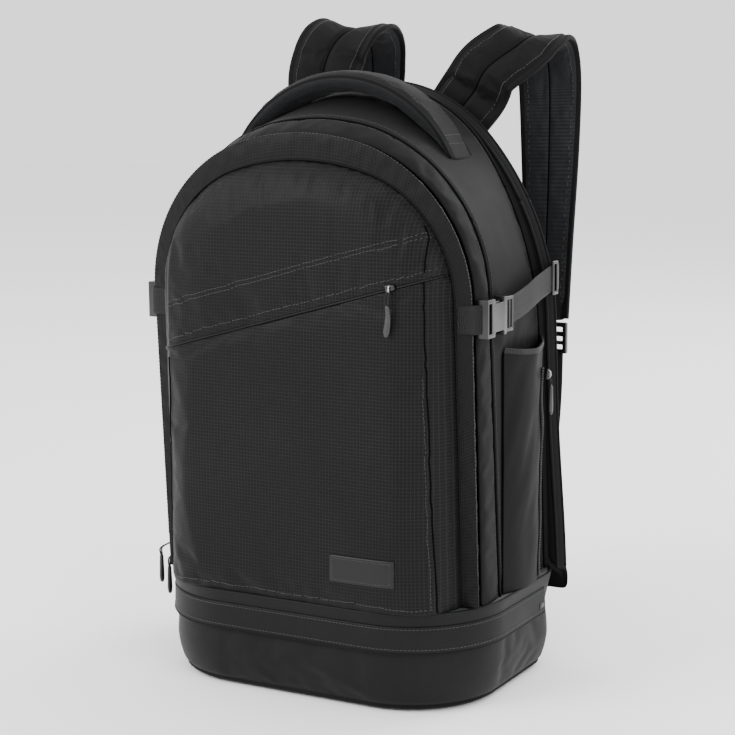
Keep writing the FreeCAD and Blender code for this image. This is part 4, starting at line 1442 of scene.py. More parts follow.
    def sew(self) -> None:
        """Finishes the pieces, sews them and places them."""
        shop, pack = self.shop, self.shop.pack
        bodies = ("pack_body", "front_section")
        start, end = Vector((0, 0, self.fold[0])), Vector((0, 0, self.fold[1]))
        for piece in (self.panel, self.yoke, self.border):
            finished(piece, 1.8 * MM, 1)
        w = pack.seam.half_width
        rows = []
        for hand in (-1, 1):
            rib = lambda t, h=hand: self.face(h * (self.rib(lerp(98, 300, t) * MM) - 3.2 * MM),
                                              lerp(98, 300, t) * MM, OFF_CLOTH)
            rows.append((rib, 0.2))
        hem = lambda t: self.face(lerp(-w + 8 * MM, w - 8 * MM, t), pack.base_top + 5 * MM, OFF_CLOTH)
        rows.append((hem, 0.3))
        lower = shop.needle.row("front_panel_stitches", rows, [self.panel])
        shop.bend(lower, bodies, start, end)
        rows = []
        for step, near, far in ((37 * MM, 6 * MM, 8 * MM), (41 * MM, 6 * MM, 8 * MM),
                                (7 * MM, 5 * MM, 5 * MM)):

            def row(t: float, s: float = step, a: float = near, b: float = far) -> Vector:
                """A place along one seam beside the slanted zip."""
                x = lerp(-w + a, w - b, t)
                return self.face(x, self.slant(x) + s, OFF_CLOTH)

            rows.append((row, 0.29))
        upper = shop.needle.row("front_yoke_stitches", rows, [self.yoke])
        shop.place(upper, "front_section")
        edge_row = [(lambda t: pack.zip.at(lerp(0.03, 0.97, t), 9 * MM, -pack.zip_half - 4.5 * MM),
                     pack.zip.length * 0.94)]
        shop.bend(shop.needle.row("border_stitches", edge_row, [self.border]), bodies, start, end)
        shop.bend(self.panel, bodies, start, end, "ripstop_fabric", ["front_panel", "front_fold"], 0.2)
        shop.place(self.yoke, "front_section", "ripstop_fabric", ["front_yoke"], 0.2)
        shop.bend(self.border, bodies, start, end, "ripstop_fabric", ["pocket_gusset"], 0.2)
        piping = cordlet("front_seam_piping", lambda t: pack.seam.at(t, 0.2 * MM, 0.4 * MM), 1.0 * MM,
                         shop.cloth("shell_fabric"), 300, 8)
        shop.bend(piping, bodies, start, end, "shell_fabric")
        for hand, side in ((-1, "left"), (1, "right")):
            top = self.slant(hand * w) - 6 * MM
            rib = lambda t, h=hand, z=top: self.face(h * self.rib(lerp(93 * MM, z, t)), lerp(93 * MM, z, t),
                                                     OFF_CLOTH)
            # Painted shade: a near-black cord along each upright seam stands in for the shadow in its groove.
            fold = seam_line(f"front_rib_{side}", rib, [self.panel], shop.wardrobe.shadow)
            shop.bend(fold, bodies, start, end)
        rib = lambda t, z=self.slant(w) + 2 * MM: self.face(self.rib(z + 44 * MM * t), z + 44 * MM * t,
                                                            OFF_CLOTH)
        # Painted shade: a short near-black cord stands in for the shadow in the yoke's upright seam.
        shop.place(seam_line("yoke_rib", rib, [self.yoke], shop.wardrobe.shadow, steps=20), "front_section")
        self._pocket_zip()
        self._label(bodies, start, end)
        self._lining()

    def _pocket_zip(self) -> None:
        """The slanted zip under the yoke's edge: its tape, its coil and the cords along the yoke's and the
        pocket's edges.
        """
        shop = self.shop
        w = self.shop.pack.seam.half_width - 4 * MM

        def on_tape(u: float, v: float) -> Vector:
            """A place on the tape."""
            x = lerp(-w, w, u)
            return self.face(x, self.slant(x) + lerp(-8 * MM, 8 * MM, v), -4.4 * MM)

        work = Cut("slant_zip_cloth")
        work.sheet(on_tape, 80, 4, 0.3, 16 * MM)
        tape = finished(work.finish(shop.cloth("zip_tape")), 0.7 * MM)
        shop.place(tape, "front_section", "zip_tape", ["slant_zip_tape"])
        coil = teeth("slant_zip_coil", lambda t: on_tape(t, 0.5) + FRONT * 0.6 * MM, 0.3, lambda t: FRONT,
                     vec(3.4, 1.1, 1.2), shop.wardrobe.coil)
        shop.place(coil, "front_section", "moulded_plastic")
        for name, rise, lift in (("yoke_edge", self.flap, 0.5 * MM),
                                 ("pocket_edge", -self.gap / 2, -0.6 * MM)):
            line = lambda t, s=rise, d=lift: self.face(lerp(-w, w, t), self.slant(lerp(-w, w, t)) + s, d)
            shop.place(cordlet(name, line, 1.0 * MM, shop.cloth("ripstop_fabric"), 90, 8), "front_section",
                       "ripstop_fabric")

    def _label(self, bodies: tuple[str, str], start: Vector, end: Vector) -> None:
        """The bare label patch with its stitched edge."""
        shop = self.shop
        low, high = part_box("label_patch")
        middle, half = (low + high) / 2, (high - low) / 2
        work = Cut("label_cloth")

        def place(u: float, v: float) -> Vector:
            """A place on the patch."""
            x, z = lerp(low.x, high.x, u), lerp(low.z, high.z, v)
            return self.face(x, z, 2.2 * MM)

        work.sheet(place, 40, 16, 2 * half.x, 2 * half.z)
        tree = surface_of([self.panel])
        for vert in work.bm.verts:
            spot = tree.ray_cast(Vector((vert.co.x, -1.0, vert.co.z)), -FRONT)[0]
            vert.co = Vector((vert.co.x, spot.y - 1.0 * MM, vert.co.z))
        patch = finished(work.finish(shop.cloth("label_fabric")), 0.9 * MM)
        inset = 2.5 * MM
        corners = [Vector((middle.x + a * (half.x - inset), low.y - 9 * MM, middle.z + b * (half.z - inset)))
                   for a, b in ((-1, -1), (1, -1), (1, 1), (-1, 1), (-1, -1))]
        rows = [(lambda t, p=a, q=b: p.lerp(q, t), (b - a).length) for a, b in zip(corners, corners[1:])]
        row = shop.needle.row("label_stitches", rows, [patch], 2.4 * MM, 1.7 * MM, 0.5 * MM)
        shop.bend(row, bodies, start, end)
        shop.bend(patch, bodies, start, end, "label_fabric", ["label_patch"])

    def _lining(self) -> None:
        """The soft wall between the pocket and the main compartment."""
        shop, pack = self.shop, self.shop.pack
        work = Cut("pocket_lining_cloth")
        arch = pack.zip
        foot = arch.share_at(111 * MM)
        corner = arch.share_at(arch.top - 40 * MM)
        inner = lambda share: arch.at(share, -7.5 * MM, 0.0)
        low_l, low_r = inner(foot), inner(1 - foot)
        patch = Patch(
            bottom=lambda u: low_l.lerp(low_r, u),
            top=lambda u: inner(lerp(corner, 1 - corner, u)),
            left=lambda v: inner(lerp(foot, corner, v)),
            right=lambda v: inner(lerp(1 - foot, 1 - corner, v)),
        )

        def place(u: float, v: float) -> Vector:
            """A place on the lining."""
            spot = patch.at(u, v)
            wave = 0.9 * MM * ripple(spot, 40 * MM, 15) * math.sin(math.pi * u) * math.sin(math.pi * v)
            return Vector((spot.x, arch.y_at(spot.z) - 3.6 * MM + wave, spot.z))

        work.sheet(place, 60, 80, 0.3, 0.38)
        wall = finished(work.finish(shop.cloth("lining_fabric")), 1.2 * MM)
        shop.place(wall, "front_section", "lining_fabric", ["pocket_back_wall"], 0.1)


# ---------------------------------------------------------------- body


@dataclass
class MainBody:
    """The pack behind the main zip: zip, bands, gusset and back."""

    shop: Shop

    def cut(self) -> None:
        """Cuts the bands and lists them for draping."""
        pack, tailor = self.shop.pack, self.shop.tailor
        z, g, b = pack.zip, pack.gusset, pack.back_seam
        self.band = self._strip("zip_band_cloth", "shell_fabric", 300, 8, 0.03,
                                lambda u: z.at(u, 0.0, pack.zip_half + 0.2 * MM),
                                lambda u: g.at(u, -0.2 * MM, -0.2 * MM),
                                g.out, 1.6 * MM, 0.8 * MM, 1.3)
        self.gusset = self._strip("main_gusset_cloth", "shell_fabric", 260, 30, 0.12,
                                  lambda u: g.at(u, -0.2 * MM, 0.2 * MM), lambda u: b.at(u, 0.0, -0.2 * MM),
                                  b.out, 1.6 * MM, 0.9 * MM, 0.5, 0.316)
        tailor.drape(self.band, lambda spot: 0.0, 0.8, 0.006, 2 * MM)
        tailor.drape(self.gusset, lambda spot: 1.0 if spot.z < 0.31 else 0.0, 1.0, 0.006, 3 * MM)

    def _strip(self, name: str, slot: str, columns: int, rows: int, width: float, front: Line, rear: Line,
               out: Line, bulge: float, crease: float, tight: float, flat: float = 0.0) -> bpy.types.Object:
        """Cuts a band of cloth between two arched seams.

        Args:
            name: The piece's name.
            slot: Its material slot.
            columns: Faces along the arch.
            rows: Faces across.
            width: Width of the cloth.
            front: Its front seam over the arch's share.
            rear: Its rear seam.
            out: Direction away from the pack.
            bulge: How far it stands out between its seams.
            crease: Height of its creases.
            tight: How much closer the creases lie along the arch than across.
            flat: Height below which it lies flat under the side pockets.

        Returns:
            The band.
        """
        work = Cut(name)
        length = self.shop.pack.gusset.length

        def place(u: float, v: float) -> Vector:
            """A place on the band."""
            hold = math.sin(math.pi * v)
            spot = front(u).lerp(rear(u), v)
            wave = ripple(Vector((u * length * tight, v * width, 0)), 30 * MM, columns + rows)
            fine = ripple(Vector((u * length * 2, v * width, 0)), 20 * MM, rows)
            groove = 1.2 * MM * (well(v * width, 2.2 * MM) + well((1 - v) * width, 2.2 * MM))
            hold *= lerp(0.12, 1.0, ease((spot.z - flat) / (25 * MM))) if flat else 1.0
            return spot + out(u) * (bulge * hold + crease * (wave + 0.4 * fine) * hold ** 0.6 - groove)

        work.sheet(place, columns, rows, length, width)
        return work.finish(self.shop.cloth(slot))

    def sew(self) -> None:
        """Finishes the pieces, sews them and places them."""
        shop, pack = self.shop, self.shop.pack
        finished(self.band, 1.8 * MM, 1)
        finished(self.gusset, 1.8 * MM, 1)
        g, b = pack.gusset, pack.back_seam
        rows = [(lambda t: g.at(t, 8 * MM, -5 * MM), g.length)]
        shop.place(shop.needle.row("zip_band_stitches", rows, [self.band]), "pack_body")
        rows = [(lambda t: g.at(t, 8 * MM, 5 * MM), g.length), (lambda t: b.at(t, 8 * MM, -6 * MM), b.length)]
        shop.place(shop.needle.row("gusset_stitches", rows, [self.gusset]), "pack_body")
        shop.place(self.band, "pack_body", "shell_fabric", ["zip_band"], 0.2)
        shop.place(self.gusset, "pack_body", "shell_fabric", ["main_gusset"], 0.2)
        for name, arch, size in (("gusset_piping", g, 1.1), ("back_piping", b, 1.4)):
            cord = cordlet(name, lambda t, a=arch: a.at(t, 0.4 * MM, 0.0), size * MM,
                           shop.cloth("shell_fabric"), 300, 8)
            shop.place(cord, "pack_body", "shell_fabric")
        self._zip()
        self._back_panels()
        shop.keep("frame_sheet", "stiffener_plastic")

    def _zip(self) -> None:
        """The main zip: two tapes with their coils, sunk between the bands."""
        shop, pack = self.shop, self.shop.pack
        arch = pack.zip
        foot = arch.share_at(110.5 * MM)
        for name, body, first, near, far, edge in (
            ("front", "front_section", foot, -4.3, -0.3, -1.3), ("rear", "pack_body", 0.0, 0.3, 4.3, 1.3),
        ):
            share = lambda t, f=first: lerp(f, 1 - f, t)
            work = Cut(f"main_zip_{name}_cloth")
            work.sheet(lambda u, v: arch.at(share(u), -3.4 * MM, lerp(near, far, v) * MM), 260, 2,
                       arch.length, 4 * MM)
            tape = finished(work.finish(shop.cloth("zip_tape")), 0.8 * MM)
            shop.place(tape, body, "zip_tape", [f"main_zip_{name}_tape"])
            line = lambda t, s=edge: arch.at(share(t), -2.9 * MM, s * MM)
            row = teeth(f"main_zip_{name}_coil", line, arch.length * (1 - 2 * first),
                        lambda t: arch.out(share(t)),
                        vec(2.2, 1.4, 1.3), shop.wardrobe.coil)
            shop.place(row, body, "moulded_plastic")

    def _back_panels(self) -> None:
        """Lining of the main compartment's back and the floor between it and the boots."""
        shop, pack = self.shop, self.shop.pack
        arch = pack.back_seam
        corner = arch.share_at(arch.top - 60 * MM)
        inner = lambda share: arch.at(share, -1 * MM, 0.0)
        low_l, low_r = inner(0.0), inner(1.0)
        patch = Patch(
            bottom=lambda u: low_l.lerp(low_r, u),
            top=lambda u: inner(lerp(corner, 1 - corner, u)),
            left=lambda v: inner(lerp(0.0, corner, v)),
            right=lambda v: inner(lerp(1.0, 1 - corner, v)),
        )

        def place(u: float, v: float) -> Vector:
            """A place on the lining."""
            spot = patch.at(1 - u, v)
            return Vector((spot.x, arch.y_at(spot.z) + 1.9 * MM, spot.z))

        work = Cut("back_lining_cloth")
        work.sheet(place, 60, 90, 0.3, 0.45)
        wall = finished(work.finish(shop.cloth("lining_fabric")), 1.7 * MM)
        shop.place(wall, "pack_body", "lining_fabric", ["back_lining"], 0.1)
        work = Cut("divider_cloth")
        middle = Vector((0.0, (pack.rear - pack.front) / 2, pack.base_top - 0.2 * MM))

        def floor(u: float, v: float) -> Vector:
            """A place on the divider."""
            rim = pack.base.at(u, 3.6 * MM, pack.base_top - 0.2 * MM)
            spot = middle + (rim - middle) * v
            return spot + UP * -0.5 * MM * abs(ripple(spot, 35 * MM, 4)) * math.sin(math.pi * v)

        verts = work.sheet(floor, 120, 24, 0.3, 0.24)
        bmesh.ops.remove_doubles(work.bm, verts=verts, dist=1e-6)
        for face in work.bm.faces:
            for loop in face.loops:
                loop[work.uv].uv = (loop.vert.co.x, loop.vert.co.y)
        bmesh.ops.recalc_face_normals(work.bm, faces=work.bm.faces)
        panel = work.finish(shop.cloth("lining_fabric"))
        if panel.data.polygons[0].normal.z < 0:
            panel.data.flip_normals()
        shop.place(finished(panel, 1.8 * MM), "pack_body", "lining_fabric", ["divider_panel"], 0.1)


# ---------------------------------------------------------------- padded pieces


@dataclass
class BackPad:
    """The padded back panel: a bound edge and six mesh-covered pads with channels between them."""

    shop: Shop
    foot: float = 68 * MM
    rise: float = 25 * MM
    draw: float = 12 * MM

    def outline(self, u: float, inset: float) -> Vector:
        """A place on the pad's outline: over the arch, then back along the foot."""
        edge = self.shop.pack.back_edge
        arch = edge.length + 2 * (edge.foot - self.foot)
        whole = arch + 2 * edge.half_width
        way = u * whole
        side = edge.foot - self.foot
        if way < side:
            spot = Vector((-edge.half_width, 0, self.foot + way))
            return spot + Vector((inset, 0, inset * max(0.0, 1 - way / (30 * MM))))
        if way < arch - side:
            return edge.at((way - side) / edge.length, -inset)
        if way < arch:
            down = arch - way
            return Vector((edge.half_width - inset, 0,
                           self.foot + down + inset * max(0.0, 1 - down / (30 * MM))))
        t = (way - arch) / (2 * edge.half_width)
        half = edge.half_width - inset
        return Vector((lerp(half, -half, t), 0, self.foot + inset))

    def side_at(self, t: float) -> tuple[float, float]:
        """Depth behind the edge and inset of the pad's rounded side, from its front seam to its rear."""
        bulge = 8.5 * MM * math.sin(t * math.pi)
        return lerp(-5.5 * MM, self.rise - 4 * MM, t), lerp(5 * MM, self.draw, t) - bulge

    def channels(self, x: float, z: float) -> float:
        """Depth of the sewn channels on the rear, from 0 to 1."""
        deep = well(abs(x) - 0.0, 8 * MM)
        for height in (190 * MM, 330 * MM, 445 * MM):
            deep = max(deep, well(z - height - abs(x) * 0.12, 6.5 * MM))
        rim = 46 * MM
        inside = self.shop.pack.back_edge.inside(x, z)
        return deep * ease((inside - 14 * MM) / rim)

    def cut(self) -> None:
        """Cuts the pad and lists it for plumping."""
        pack = self.shop.pack
        edge = pack.back_edge
        middle = Vector((0, 0, 300 * MM))
        work = Cut("back_pad_cushion")

        def place(u: float, v: float) -> Vector:
            """A place on the pad: front middle, round the edge, to the rear's middle."""
            if v < 0.2:
                shift, inset, k = -5.5 * MM, 6 * MM, v / 0.2
            elif v < 0.5:
                shift, inset = self.side_at((v - 0.2) / 0.3)
                k = 1.0
            else:
                t = (v - 0.5) / 0.5
                shift, inset, k = self.rise - 4 * MM * (1 - ease(t * 5)), self.draw, 1 - t
            rim = self.outline(u, inset)
            rim.x *= 1 + 0.03 * ease((260 * MM - rim.z) / (170 * MM))
            spot = middle + (Vector((rim.x, 0, rim.z)) - middle) * k
            y = edge.y_at(max(spot.z, edge.foot)) + shift
            if v >= 0.5:
                y -= 11 * MM * self.channels(spot.x, spot.z)
            if spot.z < edge.foot:
                y = max(y, pack.rear + 1.2 * MM)
            return Vector((spot.x, y, spot.z))

        work.hose(place, 220, 100, 1.4, 0.6)
        for face in work.bm.faces:
            for loop in face.loops:
                loop[work.uv].uv = (loop.vert.co.x, loop.vert.co.z)
        self.pad = work.finish(self.shop.cloth("spacer_mesh"))
        self.pad.data.materials.append(self.shop.cloth("shell_fabric"))
        for face in self.pad.data.polygons:
            rim = face.center
            if edge.inside(rim.x, rim.z) < 10 * MM or face.normal.y < 0.3:
                face.material_index = 1
        self.shop.tailor.drape(self.pad, self._pins, 2.5, 0.01, 4 * MM)

    def _pins(self, spot: Vector) -> float:
        """The channels and the whole front stay where they are sewn."""
        edge = self.shop.pack.back_edge
        if spot.y < edge.y_at(max(spot.z, edge.foot)) + 19.5 * MM or spot.z < edge.foot + 6 * MM:
            return 1.0
        return min(1.0, self.channels(spot.x, spot.z) * 1.4)

    def sew(self) -> None:
        """Finishes the pad and binds its edge."""
        shop, pack = self.shop, self.shop.pack
        finished(self.pad, 0.0, 1)
        shop.place(self.pad, "pack_body", "spacer_mesh", ["back_pad"], 0.6)
        edge = pack.back_edge
        for name, t, size in (("back_seam_binding", 0.06, 1.8), ("back_binding", 0.42, 1.3),
                              ("back_rim_binding", 0.86, 1.6)):
            shift, inset = self.side_at(t)

            def line(t: float, behind: float = shift, inwards: float = inset) -> Vector:
                """A place on the pad's side."""
                spot = edge.at(t, -inwards, behind)
                spot.x *= 1 + 0.03 * ease((260 * MM - spot.z) / (170 * MM))
                return spot

            tape = cordlet(name, line, size * MM, shop.cloth("shell_fabric"), 300, 10)
            shop.place(tape, "pack_body", "shell_fabric")
        work = Cut("back_edge_cloth")
        near, far = pack.back_seam, self.side_at(0.12)
        work.sheet(lambda u, v: near.at(u, -1 * MM, -1 * MM).lerp(edge.at(u, -far[1] - 1 * MM, far[0]), v),
                   240, 4,
                   edge.length, 14 * MM)
        strip = finished(work.finish(shop.cloth("shell_fabric")), 1.5 * MM)
        shop.place(strip, "pack_body", "shell_fabric")


@dataclass
class PaddedStrap:
    """One shoulder strap with its root: plain outside, mesh inside, bound borders and a middle seam."""

    shop: Shop
    hand: str
    stations: Sequence[tuple[Vector, Vector]]
    widths: Sequence[float]
    thick: float = 11 * MM
    seam: int = 3

    def __post_init__(self) -> None:
        """Draws its middle line and the directions of its width."""
        self.line = curve_through([place for place, _ in self.stations])
        self.turns = curve_through([side for _, side in self.stations])
        self.sizes = curve_through([Vector((size * MM, 0, 0)) for size in self.widths])
        self.length = length_of(self.line)

    def width_at(self, t: float) -> float:
        """Its width at a place along it."""
        return self.sizes(t).x

    def frame_at(self, t: float) -> tuple[Vector, Vector, Vector]:
        """Middle, width direction and outward direction at a place along it."""
        ahead = (self.line(min(t + 0.008, 1.0)) - self.line(max(t - 0.008, 0.0))).normalized()
        side = self.turns(t)
        side = (side - ahead * side.dot(ahead)).normalized()
        return self.line(t), side, side.cross(ahead).normalized()

    def depth_at(self, t: float) -> float:
        """Half its thickness at a place along it: slim at both ends and where the strap joins its root."""
        seam = self.seam / (len(self.stations) - 1)
        slim = lerp(0.42, 1.0, ease(t * self.length / (20 * MM)))
        slim *= lerp(0.5, 1.0, ease(abs(t - seam) * self.length / (16 * MM)))
        return 0.45 * self.thick * slim * lerp(0.4, 1.0, ease((1 - t) * self.length / (14 * MM)))

    def spot(self, t: float, across: float, out: float) -> Vector:
        """A place near the strap: across in half widths, out in metres from its middle."""
        middle, side, up = self.frame_at(t)
        return middle + side * across * self.width_at(t) / 2 + up * out

    def cut(self) -> None:
        """Cuts the padded length and lists it for plumping."""
        seam = self.seam / (len(self.stations) - 1)
        work = Cut(f"shoulder_strap_{self.hand}_pad")

        def place(u: float, v: float) -> Vector:
            """A place on its skin: the outer face for u up to a half, then the inner one."""
            x = 1 - 4 * u if u <= 0.5 else 4 * u - 3
            y = 1.0 if u <= 0.5 else -1.0
            middle, side, out = self.frame_at(v)
            round_off = max(0.0, 1 - abs(x) ** 6) ** 0.5
            groove = 0.4 * well(x, 0.07)
            pinch = lerp(0.5, 1.0, ease((1 - abs(x)) / 0.24))
            depth = self.depth_at(v) * round_off * (1 - groove) * pinch
            return middle + side * (x * self.width_at(v) / 2) + out * (y * depth)

        work.hose(place, 64, 150, 2.4 * max(self.widths) * MM, self.length)
        for face in work.bm.faces:
            for loop in face.loops:
                u, v = loop[work.uv].uv.x / (2.4 * max(self.widths) * MM), loop[work.uv].uv.y
                loop[work.uv].uv = (abs(1 - 2 * u) * 2 * max(self.widths) * MM, v)
        self.strap = work.finish(self.shop.cloth("shell_fabric"))
        self.strap.data.materials.append(self.shop.cloth("spacer_mesh"))
        frames = [self.frame_at(i / 80) for i in range(81)]
        for face in self.strap.data.polygons:
            near = min(frames, key=lambda f: (f[0] - face.center).length_squared)
            if face.normal.dot(near[2]) < -0.25:
                face.material_index = 1

        def pins(spot: Vector) -> float:
            """The borders, the middle seam and the root hold the skin."""
            i = min(range(81), key=lambda k: (frames[k][0] - spot).length_squared)
            x = abs((spot - frames[i][0]).dot(frames[i][1])) / (self.width_at(i / 80) / 2)
            if x > 0.82 or x < 0.07 or i / 80 < seam:
                return 1.0
            return 0.0

        self.shop.tailor.drape(self.strap, pins, 2.0, 0.012, 1.6 * MM)

    def sew(self) -> None:
        """Finishes the strap, binds it and adds its stitches and middle seams."""
        shop = self.shop
        bodies, node = ("pack_body", f"strap_{self.hand}"), f"shoulder_strap_{self.hand}"
        seam = self.seam / (len(self.stations) - 1)
        start = self.line(seam) + Vector((0, 2.5 * MM, 0))
        end = start + Vector((0, 13 * MM, 0))
        finished(self.strap, 0.0, 1)
        rows = []
        for name, share in (("outer", 1), ("inner", -1)):
            edge = lambda t, s=share: self.spot(lerp(0.01, 0.997, t), s,
                                                0.0) - self.frame_at(lerp(0.01, 0.997, t))[1] * s * 1.4 * MM
            across = lambda t: self.frame_at(lerp(0.01, 0.997, t))[1]
            tape = ribbon(f"{node}_{name}_binding", edge, across, 6.4 * MM, 4.8 * MM,
                          shop.cloth("shell_fabric"), 150)
            shop.bend(tape, bodies, start, end, "shell_fabric")
            for face in (1, -1):
                rows.append((lambda t, s=share,
                             d=face: self.spot(lerp(0.02, 0.985, t), s * 0.78, d * OFF_CLOTH),
                             self.length))
        for name, face in (("outer", 1), ("inner", -1)):
            middle = lambda t, d=face: self.spot(lerp(0.02, 0.985, t), 0.0,
                                                 d * 0.6 * self.depth_at(lerp(0.02, 0.985, t)))
            # Painted shade: a near-black cord along the middle of each face stands in for the shadow in the
            # strap's middle groove.
            fold = cordlet(f"{node}_{name}_seam", middle, 0.9 * MM, shop.wardrobe.shadow, 160, 8)
            shop.bend(fold, bodies, start, end)
        shop.bend(shop.needle.row(f"{node}_stitches", rows, [self.strap]), bodies, start, end)
        shop.bend(self.strap, bodies, start, end, "shell_fabric", [node, f"strap_root_{self.hand}"], 0.6)


@dataclass
class GrabHandle:
    """The padded handle over the top: plain above, mesh below and in front."""

    shop: Shop

    def cut(self) -> None:
        """Cuts the handle and lists it for plumping."""
        low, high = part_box("grab_handle")
        self.low, self.high = low, high
        half = high.x - 3 * MM
        foot_z = low.z + 4 * MM
        rise = high.z - 6 * MM - foot_z
        radius = (half ** 2 + rise ** 2) / (2 * rise)
        reach = math.asin(half / radius)
        y_mid, wide = (low.y + high.y) / 2, (high.y - low.y) / 2

        def line(t: float) -> Vector:
            """Middle of the handle."""
            a = lerp(-reach, reach, t)
            return Vector((radius * math.sin(a), y_mid, foot_z + rise - radius * (1 - math.cos(a))))

        self.line = line
        work = Cut("grab_handle_pad")

        def place(u: float, v: float) -> Vector:
            """A place on its skin."""
            spot = line(v)
            lean = lerp(-reach, reach, v)
            out = Vector((math.sin(lean), 0, math.cos(lean)))
            a = 2 * math.pi * u
            x = squared(math.cos(a), 0.5)
            y = squared(math.sin(a), 0.7)
            foot = min(v, 1 - v) * length
            deep = lerp(3.4 * MM, 5.6 * MM if y > 0 else 12 * MM, ease(foot / (60 * MM)))
            narrow = lerp(0.96, 1.0, ease(foot / (40 * MM)))
            return spot + Vector((0, -1, 0)) * (x * wide * narrow) + out * (y * deep * lerp(0.7, 1,
                ease((1 - abs(x)) / 0.3)))

        length = length_of(line)
        work.hose(place, 44, 90, 2 * (high.y - low.y), length)
        self.pad = work.finish(self.shop.cloth("shell_fabric"))
        self.pad.data.materials.append(self.shop.cloth("spacer_mesh"))
        uv = self.pad.data.uv_layers["cloth"].data
        girth = 2 * (high.y - low.y)
        for face in self.pad.data.polygons:
            share = sum(uv[i].uv.x for i in face.loop_indices) / face.loop_total / girth
            if share > 0.5:
                face.material_index = 1
        self.shop.tailor.drape(self.pad, self._pins, 2.0, 0.01, 2 * MM)

    def _pins(self, spot: Vector) -> float:
        """The sewn feet and the two edge seams hold the skin."""
        if abs(spot.x) > self.high.x - 26 * MM:
            return 1.0
        if min(abs(spot.y - self.low.y), abs(spot.y - self.high.y)) < 5 * MM:
            return 0.8
        return 0.0

    def sew(self) -> None:
        """Finishes the handle, binds it and sews down its ends."""
        shop = self.shop
        finished(self.pad, 0.0, 1)
        middle = (self.low.y + self.high.y) / 2
        wide = (self.high.y - self.low.y) / 2
        out = lambda t: (self.line(t) - Vector((0, middle, self.line(0.5).z - 0.2))).normalized()
        for name, side in (("front", -1), ("rear", 1)):
            edge = lambda t, s=side: self.line(lerp(0.01, 0.99, t)) + Vector((0, s * (wide - 1.6 * MM),
                                                                              0)) + out(t) * 1.2 * MM
            tape = cordlet(f"grab_handle_{name}_binding", edge, 1.7 * MM, shop.cloth("shell_fabric"), 90)
            shop.place(tape, "pack_body", "shell_fabric")
        rows = [(lambda t, s=side: self.line(lerp(0.03, 0.97, t)) + Vector((0, s * (wide - 6 * MM), 12 * MM)),
                 0.24)
                for side in (-1, 1)]
        for end in (0.03, 0.06, 0.94, 0.97):
            rows.append((lambda t, e=end: self.line(e)
                         + Vector((0, lerp(-wide + 5 * MM, wide - 5 * MM, t), 8 * MM)), 0.03))
        shop.place(shop.needle.row("grab_handle_stitches", rows, [self.pad]), "pack_body")
        shop.place(self.pad, "pack_body", "shell_fabric", ["grab_handle"], 0.6)


# ---------------------------------------------------------------- side pockets


